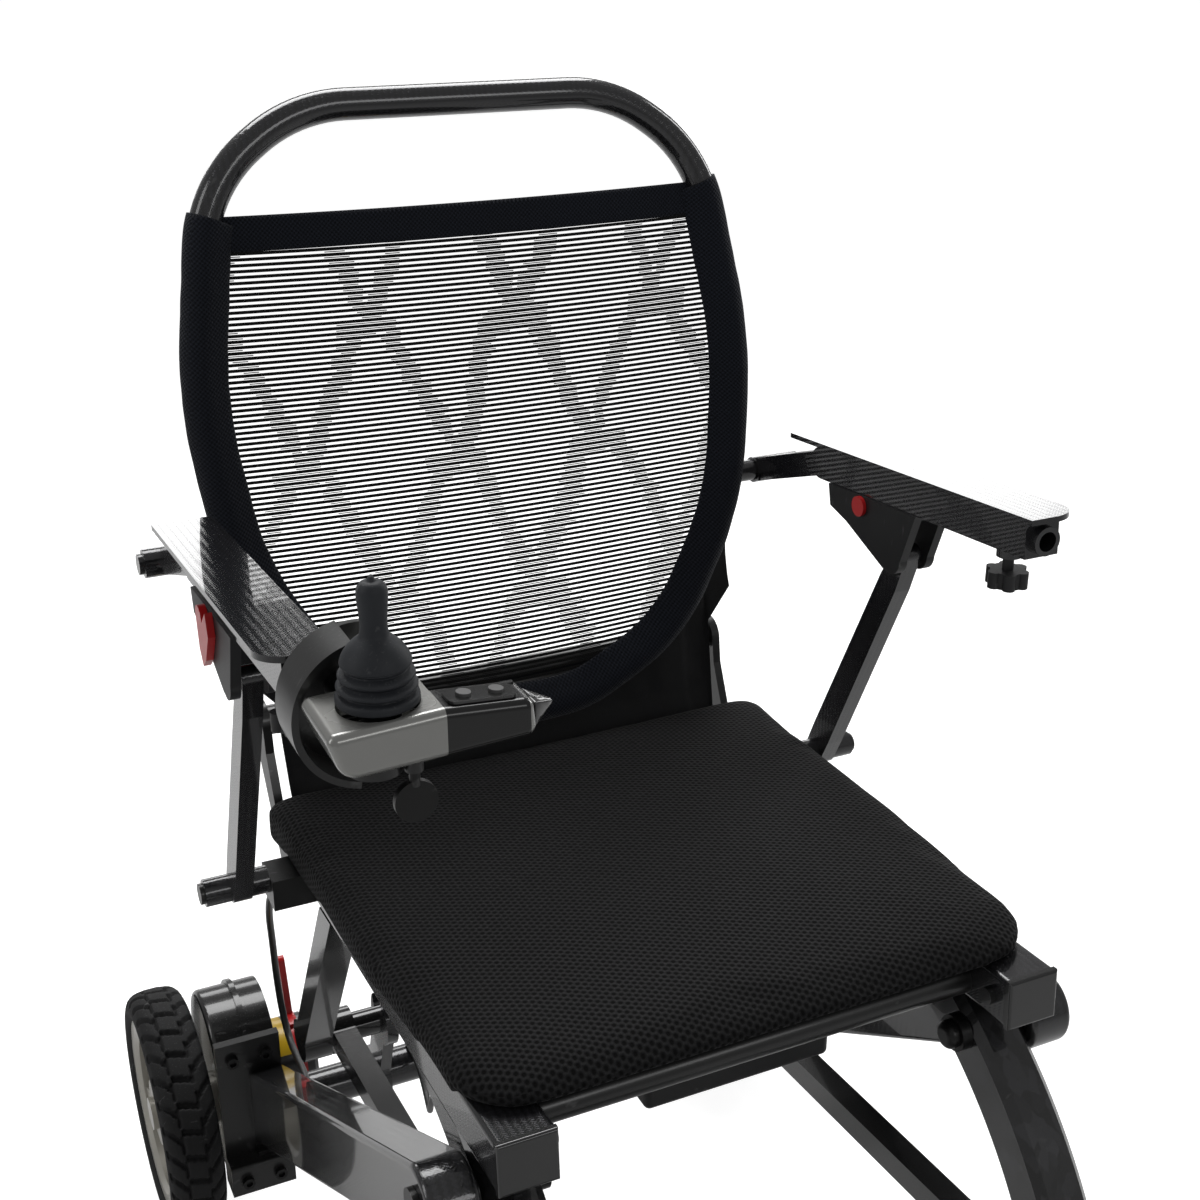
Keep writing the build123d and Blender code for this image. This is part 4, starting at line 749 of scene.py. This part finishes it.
def seat_cushion(paints):
    """The knitted pad: the CAD solid meshed evenly, blown up a little, then crowned and creased."""
    cad = NODES["seat_cushion"]
    low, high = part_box("seat_cushion")
    corners = np.array([v.co for v in cad.data.vertices])
    front = corners[corners[:, 1] < low.y + 0.001]
    rear = corners[corners[:, 1] > high.y - 0.001]
    floor_front, floor_rear = front[:, 2].min(), rear[:, 2].min()
    length = high.y - low.y

    def floor_at(y):
        return floor_front + (floor_rear - floor_front) * (y - low.y) / length

    def thick_at(y):
        return (PAD_FRONT + PAD_GROWTH * np.clip((y - low.y) / length, 0, 1)) * MM

    mesh = cad.data.copy()
    mesh.name = "seat_pad"
    pad = bpy.data.objects.new("seat_pad", mesh)
    bpy.context.scene.collection.objects.link(pad)
    mesh.materials.clear()
    mesh.materials.append(paints["seat_knit"])
    rebuilt = pad.modifiers.new("even", "REMESH")
    rebuilt.mode = "VOXEL"
    rebuilt.voxel_size = PAD_GRAIN
    apply_modifiers(pad)
    points = positions(pad)
    middle = (low + high) / 2
    points[:, 0] = middle.x + (points[:, 0] - middle.x) * PAD_SHRINK
    points[:, 1] = middle.y + (points[:, 1] - middle.y) * PAD_SHRINK
    set_positions(pad, points)
    swell(pad, PAD_PRESSURE, PAD_GIVE)
    rounder = pad.modifiers.new("smooth", "SUBSURF")
    rounder.levels = 2
    apply_modifiers(pad)

    points = positions(pad)
    inset = inset_from_edge(points[:, 0], points[:, 1], low, high)
    floor = floor_at(points[:, 1])
    height = np.clip((points[:, 2] - floor) / thick_at(points[:, 1]), 0, 1.4)
    top = np.clip((height - 0.45) / 0.4, 0, 1)
    crown = np.clip((inset - EDGE_ROLL) / CROWN_REACH, 0, 1)
    lift = top * CROWN * crown * (2 - crown)
    front_share = np.clip(1 - (points[:, 1] - low.y) / FRONT_SLOPE, 0, 1)
    ripple = np.array([noise.noise(Vector((p[0] * 26, p[1] * 9, 3.1))) for p in points])
    slack = np.array([noise.noise(Vector((p[0] * 7, p[1] * 7, 9.4))) for p in points])
    lift += top * (RIPPLE * ripple * (0.25 + 1.6 * front_share) + SLACK * slack)
    points[:, 2] += lift
    pull = np.sin(np.clip((points[:, 1] - low.y) / length, 0, 1) * math.pi)
    points[:, 0] -= WAIST * pull * (points[:, 0] - middle.x) / (high.x - middle.x)
    droop = FRONT_DROOP * front_share ** 2 * np.clip(height, 0, 1)
    points[:, 2] -= droop
    points[:, 2] = np.maximum(points[:, 2], floor_at(points[:, 1]))
    set_positions(pad, points)
    pad.data.shade_smooth()
    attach(pad, "seat_frame")
    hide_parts("seat_cushion")


# ---------------------------------------------------------------- backrest
BACK_FOOT = Vector((0, 0.265, 0.530))
RECLINE = math.radians(10.6)
BACK_UP = Vector((0, math.sin(RECLINE), math.cos(RECLINE)))
BACK_OUT = Vector((0, -math.cos(RECLINE), math.sin(RECLINE)))
# The loop's right half in millimetres, across and up, and the bend at each inner corner.
LOOP_CORNERS = [(0, 493), (130, 493), (203, 440), (228, 285), (212, 150), (150, 45), (60, 2), (0, 2)]
LOOP_BENDS = [120, 110, 350, 250, 150, 120]
SLEEVE_RADIUS = 14.1 * MM
MESH_TOP = 418 * MM
HEM = 26 * MM
STRIPE_PITCH = 4.25 * MM
STRIPE_HEIGHT = 2.45 * MM
BAND_YARN = 0.75 * MM
LOOP_MIDDLE = 240  # millimetres up, a point that the loop goes round
SLEEVE_STEP, SLEEVE_SIDES = 4 * MM, 24
SLEEVE_TAPER, SLEEVE_FLATTEN, SLEEVE_PUCKER = 7.5 * MM, 0.45, 0.00055
SLEEVE_INSET, MESH_INSET = 9, 13  # millimetres inside the loop's line
HEM_ROWS, HEM_COLUMNS = 9, 90
HEM_THICK, HEM_SAG = 1.5 * MM, 2.5 * MM
BAND_CELL, BAND_SQUEEZE = 0.125, 0.9
BELLY, STRIPE_SAG, STRIPE_ROUND = 3.5 * MM, 3.5 * MM, 0.4 * MM
STRIPE_STEP, BAND_STEP = 6 * MM, 4 * MM


def on_back(across, up, out=0.0):
    return BACK_FOOT + Vector((across, 0, 0)) + BACK_UP * up + BACK_OUT * out


def rounded_line(corners, bends, step=4.0):
    """The tube's half outline: straight runs and tangent arcs, from the top to the foot."""
    line = [Vector(corners[0])]
    for before, corner, after, radius in zip(corners, corners[1:], corners[2:], bends):
        here = Vector(corner)
        one = (Vector(before) - here).normalized()
        two = (Vector(after) - here).normalized()
        half = one.angle(two) / 2
        cut = radius / math.tan(half)
        start, stop = here + one * cut, here + two * cut
        centre = here + (one + two).normalized() * (radius / math.sin(half))
        sweep = math.pi - 2 * half
        count = max(2, int(radius * sweep / step))
        first = start - centre
        turned = first.cross(stop - centre)
        direction = 1 if turned > 0 else -1
        for k in range(count + 1):
            angle = direction * sweep * k / count
            line.append(centre + Vector((
                first.x * math.cos(angle) - first.y * math.sin(angle),
                first.x * math.sin(angle) + first.y * math.cos(angle),
            )))
    line.append(Vector(corners[-1]))
    return line


def side_line(inset):
    """The loop's right half, moved inwards, as arrays of up and across in metres, foot first."""
    line = rounded_line(LOOP_CORNERS, LOOP_BENDS)
    ups, acrosses = [], []
    for before, here, after in zip(line, line[1:], line[2:]):
        along = (after - before).normalized()
        inwards = Vector((along.y, -along.x))
        if inwards.dot(Vector((-here.x, LOOP_MIDDLE - here.y))) < 0:
            inwards = -inwards
        moved = here + inwards * inset
        ups.append(moved.y * MM)
        acrosses.append(moved.x * MM)
    order = np.argsort(ups)
    return np.array(ups)[order], np.array(acrosses)[order]


def back_sleeve(paints):
    """The woven sleeve round the tube, which tapers to the edge of the mesh."""
    half = rounded_line(LOOP_CORNERS, LOOP_BENDS)
    half = [p * MM for p in half if p.y * MM < MESH_TOP - 0.5 * MM]
    cut = Vector((np.interp(MESH_TOP, *side_line(0)), MESH_TOP))
    half = [cut] + half
    whole = half[:-1] + [Vector((-p.x, p.y)) for p in reversed(half)]
    dense = [whole[0]]
    for point in whole[1:]:
        start = dense[-1]
        pieces = max(1, round((point - start).length / SLEEVE_STEP))
        dense += [start.lerp(point, (k + 1) / pieces) for k in range(pieces)]
    ring = []
    for k in range(SLEEVE_SIDES):
        angle = 2 * math.pi * k / SLEEVE_SIDES
        inward = SLEEVE_RADIUS * math.cos(angle)
        out = SLEEVE_RADIUS * math.sin(angle)
        if inward > 0:
            reach = inward / SLEEVE_RADIUS
            inward += SLEEVE_TAPER * reach ** 3
            out *= 1 - SLEEVE_FLATTEN * reach ** 2
        ring.append((inward, out))
    points = []
    last = len(dense) - 1
    for i, point in enumerate(dense):
        along = (dense[min(i + 1, last)] - dense[max(i - 1, 0)]).normalized()
        inwards = Vector((-along.y, along.x))
        if inwards.dot(Vector((-point.x, LOOP_MIDDLE * MM - point.y))) < 0:
            inwards = -inwards
        for k, (inward, out) in enumerate(ring):
            pucker = SLEEVE_PUCKER * noise.noise(Vector((point.x * 60, point.y * 60, k * 0.55)))
            spot = point + inwards * (inward + pucker)
            points.append(on_back(spot.x, spot.y, out * (1 + 40 * pucker)))
    faces = grid_faces(len(dense), len(ring), False, True)
    faces.append(tuple(range(len(ring))))
    faces.append(tuple(reversed(range(last * len(ring), (last + 1) * len(ring)))))
    sleeve = object_from("back_border", points, faces, paints["border_weave"])
    tidy_normals(sleeve)
    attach(sleeve, "backrest")
    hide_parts("back_sleeve")


def back_hem(paints):
    """The woven hem across the top of the mesh, a thin pad with closed edges."""
    ups, acrosses = side_line(SLEEVE_INSET)
    layers = []
    for face in (1, -1):
        for i in range(HEM_ROWS):
            share = i / (HEM_ROWS - 1)
            up = MESH_TOP - HEM * share
            edge = np.interp(up, ups, acrosses)
            for j in range(HEM_COLUMNS):
                across = edge * (2 * j / (HEM_COLUMNS - 1) - 1)
                sag = HEM_SAG * (1 - (across / edge) ** 2)
                fold = math.sin(math.pi * share) ** 0.5 if 0 < share < 1 else 0.05
                wave = 0.0007 * noise.noise(Vector((across * 30, up * 50, 1.7)))
                layers.append(on_back(across, up - sag, face * HEM_THICK * fold + wave))
    front = grid_faces(HEM_ROWS, HEM_COLUMNS)
    count = HEM_ROWS * HEM_COLUMNS
    faces = front + [tuple(reversed([k + count for k in face])) for face in front]
    foot = (HEM_ROWS - 1) * HEM_COLUMNS
    for a in range(HEM_COLUMNS - 1):
        b = a + 1
        faces.append((b, a, a + count, b + count))
        faces.append((a + foot, b + foot, b + foot + count, a + foot + count))
    for i in range(HEM_ROWS - 1):
        a, b = i * HEM_COLUMNS, (i + 1) * HEM_COLUMNS
        faces.append((a, b, b + count, a + count))
        a, b = a + HEM_COLUMNS - 1, b + HEM_COLUMNS - 1
        faces.append((b, a, a + count, b + count))
    hem = object_from("back_hem", layers, faces, paints["border_weave"])
    tidy_normals(hem)
    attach(hem, "backrest")
    return hem


def knit_band(across, up):
    """True where the jacquard of the mesh is knitted closer: a net of wide bands."""
    x, y = across / BAND_CELL + 0.25, up / (BAND_CELL * BAND_SQUEEZE)
    row = math.floor(y)
    x += 0.5 * (row % 2)
    fx, fy = x - math.floor(x) - 0.5, y - row
    wander = 0.16 * noise.noise(Vector((across * 9, up * 9, 2.7)))
    slant = abs(abs(fx + wander) - (0.5 - 0.42 * fy))
    rail = abs(fy - 0.94 + wander) if abs(fx) < 0.2 else 1.0
    fray = 0.05 * noise.noise(Vector((across * 60, up * 260, 8.1)))
    return slant < 0.065 + fray or rail < 0.09 + fray


def back_mesh(paints, hem):
    """Knitted stripes with open rows between them; in the bands a fine yarn half fills the rows."""
    ups, acrosses = side_line(MESH_INSET)
    points, faces = [], []

    def stripe(up, start, stop, edge, height):
        count = max(2, int((stop - start) / STRIPE_STEP) + 1)
        first = len(points)
        for j in range(count):
            across = start + (stop - start) * j / (count - 1)
            share = across / edge
            belly = BELLY * math.sin(min(1, up / MESH_TOP) * math.pi) * (1 - share ** 2)
            hang = STRIPE_SAG * (1 - share ** 2)
            for offset, lift in ((-0.5, 0), (0, STRIPE_ROUND), (0.5, 0)):
                points.append(on_back(across, up - hang + offset * height, lift - belly))
        for j in range(count - 1):
            for k in range(2):
                a = first + 3 * j + k
                faces.append((a, a + 3, a + 4, a + 1))

    up = ups.min() + 2 * MM
    while up < MESH_TOP - HEM + 3 * MM:
        edge = np.interp(up, ups, acrosses)
        stripe(up, -edge, edge, edge, STRIPE_HEIGHT)
        between = up + STRIPE_PITCH / 2
        run = None
        for k in range(int(2 * edge / BAND_STEP) + 1):
            across = -edge + k * BAND_STEP
            inside = knit_band(across, between) and abs(across) < edge - BAND_STEP
            if inside and run is None:
                run = across
            if not inside and run is not None:
                stripe(between, run, across, edge, BAND_YARN)
                run = None
        up += STRIPE_PITCH
    mesh = object_from("back_stripes", points, faces, paints["stripe_yarn"])
    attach(mesh, "backrest")
    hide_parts("back_mesh")


FLAP_TOP = ((0.060, 0.100, 0.150, 0.219), (0.006, 0.020, 0.046, 0.122))  # across, then up
FLAP_ROWS = 30
FLAP_LOWER_HALF = 0.1925  # beyond this the lower edge rises to the sleeve
FLAP_DEPTH = 17.5 * MM
FLAP_FOOT = -48 * MM
BRACKET_SLOT = (149.2 * MM, 164.8 * MM)
SLOT_FOOT = 30 * MM
CALM_NEAR_BRACKET = (0.142, 0.172)
FOLD, CREASE, BILLOW = 2.2 * MM, 3.0 * MM, 3.5 * MM
TUCK, TUCK_HEIGHT = 6 * MM, 30 * MM


def rear_flap(paints):
    """Thin nylon behind the foot of the back, tucked round the brackets and puckered."""
    half = [k * 6 * MM for k in range(0, 25)] + [149.2 * MM, 153 * MM, 160 * MM, 164.8 * MM]
    half += [(170 + 5 * k) * MM for k in range(5)] + [192 * MM, 195 * MM]
    half += [(200 + 4.75 * k) * MM for k in range(5)]
    columns = sorted(set([-h for h in half] + half))
    points = []
    for across in columns:
        wide = abs(across)
        low_part = wide <= FLAP_LOWER_HALF
        calm = CALM_NEAR_BRACKET[0] < wide < CALM_NEAR_BRACKET[1]
        bottom = FLAP_FOOT if low_part else 0.040 + 1.13 * (wide - 0.194)
        top = np.interp(wide, *FLAP_TOP)
        for i in range(FLAP_ROWS):
            up = bottom + (top - bottom) * i / (FLAP_ROWS - 1)
            fold = noise.noise(Vector((across * 22, up * 14, 0.4)))
            crease = abs(noise.noise(Vector((across * 34 + up * 22, up * 8, 5.5))))
            billow = BILLOW * math.sin(math.pi * i / (FLAP_ROWS - 1)) * (1 if wide > 0.17 else 0.4)
            tuck = TUCK * max(0.0, 1 - (up - bottom) / TUCK_HEIGHT) if low_part else 0.0
            loose = 0.0 if calm else FOLD * fold + CREASE * crease + billow
            points.append(on_back(across, up, -FLAP_DEPTH - loose + tuck))
    faces = []
    for j in range(len(columns) - 1):
        centre = abs(columns[j] + columns[j + 1]) / 2
        for i in range(FLAP_ROWS - 1):
            a, b = j * FLAP_ROWS + i, (j + 1) * FLAP_ROWS + i
            up = (points[a] - BACK_FOOT).dot(BACK_UP)
            if BRACKET_SLOT[0] < centre < BRACKET_SLOT[1] and SLOT_FOOT < up:
                continue
            faces.append((a, b, b + 1, a + 1))
    flap = object_from("rear_flap_cloth", points, faces, paints["flap_nylon"])
    tidy_normals(flap)
    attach(flap, "backrest")
    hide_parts("rear_flap")


# ---------------------------------------------------------------- joystick
STICK_PIVOT = Vector((-0.243, -0.152, 0.772))


def smooth_profile(points, each):
    """A closed profile rounded through its points (Catmull-Rom)."""
    made = []
    count = len(points)
    for i in range(count):
        p0, p1, p2, p3 = (np.array(points[(i + k - 1) % count], float) for k in range(4))
        for k in range(each):
            t = k / each
            made.append(tuple(
                0.5 * (2 * p1 + (p2 - p0) * t + (2 * p0 - 5 * p1 + 4 * p2 - p3) * t ** 2
                       + (3 * p1 - p0 - 3 * p2 + p3) * t ** 3)
            ))
    return made


# Profiles in millimetres: out from the stick's line, and up from its pivot.
KNOB_PROFILE = [
    (0.02, 32.5), (11.4, 31.8), (15.8, 29.8), (17.8, 28.3), (18.5, 28.6), (18.5, 29.8), (17.0, 33.6),
    (13.8, 38.2), (10.0, 41.6), (7.9, 43.6), (7.1, 47.5), (7.1, 53), (7.7, 60), (8.1, 65), (7.6, 69.2),
    (5.6, 71.9), (2.6, 72.8), (0.02, 72.9),
]
SHAFT_PROFILE = [(0.02, -4), (2.9, -4), (2.9, 33), (0.02, 33)]
LOWER_BELLOWS = [
    (21.6, 7.4), (22.0, 9.4), (21.4, 11.6), (18.6, 12.8), (18.6, 13.8), (20.9, 15.2), (20.9, 17.2),
    (18.4, 18.6), (17.2, 19.4), (15.6, 19.4), (17.2, 17.4), (17.4, 15.2), (16.4, 13.2), (18.6, 11.2),
    (19.0, 7.4),
]
UPPER_BELLOWS = [
    (15.6, 19.4), (17.2, 19.4), (18.4, 20.2), (19.8, 21.6), (19.8, 23.2), (17.6, 24.6), (16.2, 25.4),
    (16.4, 26.2), (17.4, 27.2), (17.0, 28.6), (13.6, 30.0), (11.8, 29.6), (14.6, 27.6), (14.6, 24.8),
    (16.6, 22.4),
]
STICK_TURNS = 72


def sweep_round(name, profile, material):
    shape = lathe(name, STICK_PIVOT, [(r * MM, h * MM) for r, h in profile], STICK_TURNS, material)
    tidy_normals(shape)
    return shape


def joystick(paints):
    """The stick turns in two joints; the knob and shaft go with it, and the bellows is built in two halves
    that stay in place.
    """
    knob = sweep_round("stick_knob", smooth_profile(KNOB_PROFILE, 3), paints["soft_rubber"])
    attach(knob, "joystick_stick")
    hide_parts("joystick_stick")
    shaft = sweep_round("stick_shaft", SHAFT_PROFILE, paints["black_steel"])
    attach(shaft, "joystick_stick")
    lower = sweep_round("bellows_lower", smooth_profile(LOWER_BELLOWS, 4), paints["soft_rubber"])
    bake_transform(lower)
    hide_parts("joystick_boot")
    upper = sweep_round("bellows_upper", smooth_profile(UPPER_BELLOWS, 4), paints["soft_rubber"])
    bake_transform(upper)


TIP_Y, TIP_Z = (3 * MM, 23 * MM), (0.7575, 0.772)  # from the pod's front, and above the floor
TIP_LENGTH, TIP_SINK, TIP_BEVEL = 13.5 * MM, 0.5 * MM, 1.2 * MM
TIP_SHARES = (0.0, 0.35, 0.7, 1.0)
TIP_TAPER, TIP_RISE = 0.86, 0.1


def bar_tip(paints):
    """The dark wedge that closes the display bar's end."""
    low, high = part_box("control_housing")
    deep, tall = TIP_Y[1] - TIP_Y[0], TIP_Z[1] - TIP_Z[0]
    points = []
    for share in TIP_SHARES:
        shrink = 1 - TIP_TAPER * share
        for a, b in ((-1, -1), (1, -1), (1, 1), (-1, 1)):
            points.append((
                high.x - TIP_SINK + TIP_LENGTH * share,
                low.y + (TIP_Y[0] + TIP_Y[1]) / 2 + a * deep / 2 * shrink,
                TIP_Z[0] + tall * (0.5 + TIP_RISE * share) + b * tall / 2 * shrink,
            ))
    faces = grid_faces(4, 4, False, True) + [(3, 2, 1, 0), (12, 13, 14, 15)]
    tip = object_from("bar_tip", points, faces, paints["panel_gloss"], smooth=False)
    tidy_normals(tip)
    soften = tip.modifiers.new("soften", "BEVEL")
    soften.width = TIP_BEVEL
    soften.segments = 2
    apply_modifiers(tip)
    tip.data.shade_smooth()
    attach(tip, "arm_right")


# ---------------------------------------------------------------- leads
# For each lead: the body it goes with, its thickness and length in metres, and its route in millimetres.
LEADS = {
    "motor_lead": (
        "rear_frame", 0.0064, 0.407,
        [(-208, 246, 436), (-209, 274, 408), (-208, 314, 378), (-203, 350, 336), (-196, 378, 288),
         (-192, 394, 240), (-191, 388, 205), (-191, 366, 185), (-192, 334, 188), (-194, 302, 194),
         (-198.5, 274, 201)],
    ),
    "battery_lead": (
        "seat_frame", 0.0052, 0.425,
        [(-46.8, 30, 400), (-76, 34, 397), (-104, 58, 376), (-120, 92, 338), (-124, 132, 290),
         (-122, 168, 240), (-114, 196, 204), (-105, 228, 186), (-98, 262, 184), (-94, 292, 186),
         (-93, 321, 185.2)],
    ),
}


def leads(paints):
    for node, (body, thick, length, route) in LEADS.items():
        curve = bpy.data.curves.new(f"{node}_cable", "CURVE")
        curve.dimensions = "3D"
        spline = curve.splines.new("NURBS")
        spline.points.add(len(route) - 1)
        for point, spot in zip(spline.points, route):
            point.co = (*(c * MM for c in spot), 1)
        spline.order_u = 3
        spline.use_endpoint_u = True
        spline.resolution_u = 10
        curve.bevel_depth = thick / 2
        curve.bevel_resolution = 5
        curve.use_fill_caps = True
        cable = bpy.data.objects.new(f"{node}_cable", curve)
        bpy.context.scene.collection.objects.link(cable)
        curve.materials.append(paints["cable_jacket"])
        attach(cable, body)
        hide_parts(node)


add_camera()
add_studio()
PAINTS = make_materials()
leads(PAINTS)
finish_nodes(PAINTS)
drive_tyre("left", 1, PAINTS)
drive_tyre("right", -1, PAINTS)
seat_cushion(PAINTS)
back_sleeve(PAINTS)
back_mesh(PAINTS, back_hem(PAINTS))
rear_flap(PAINTS)
joystick(PAINTS)
bar_tip(PAINTS)
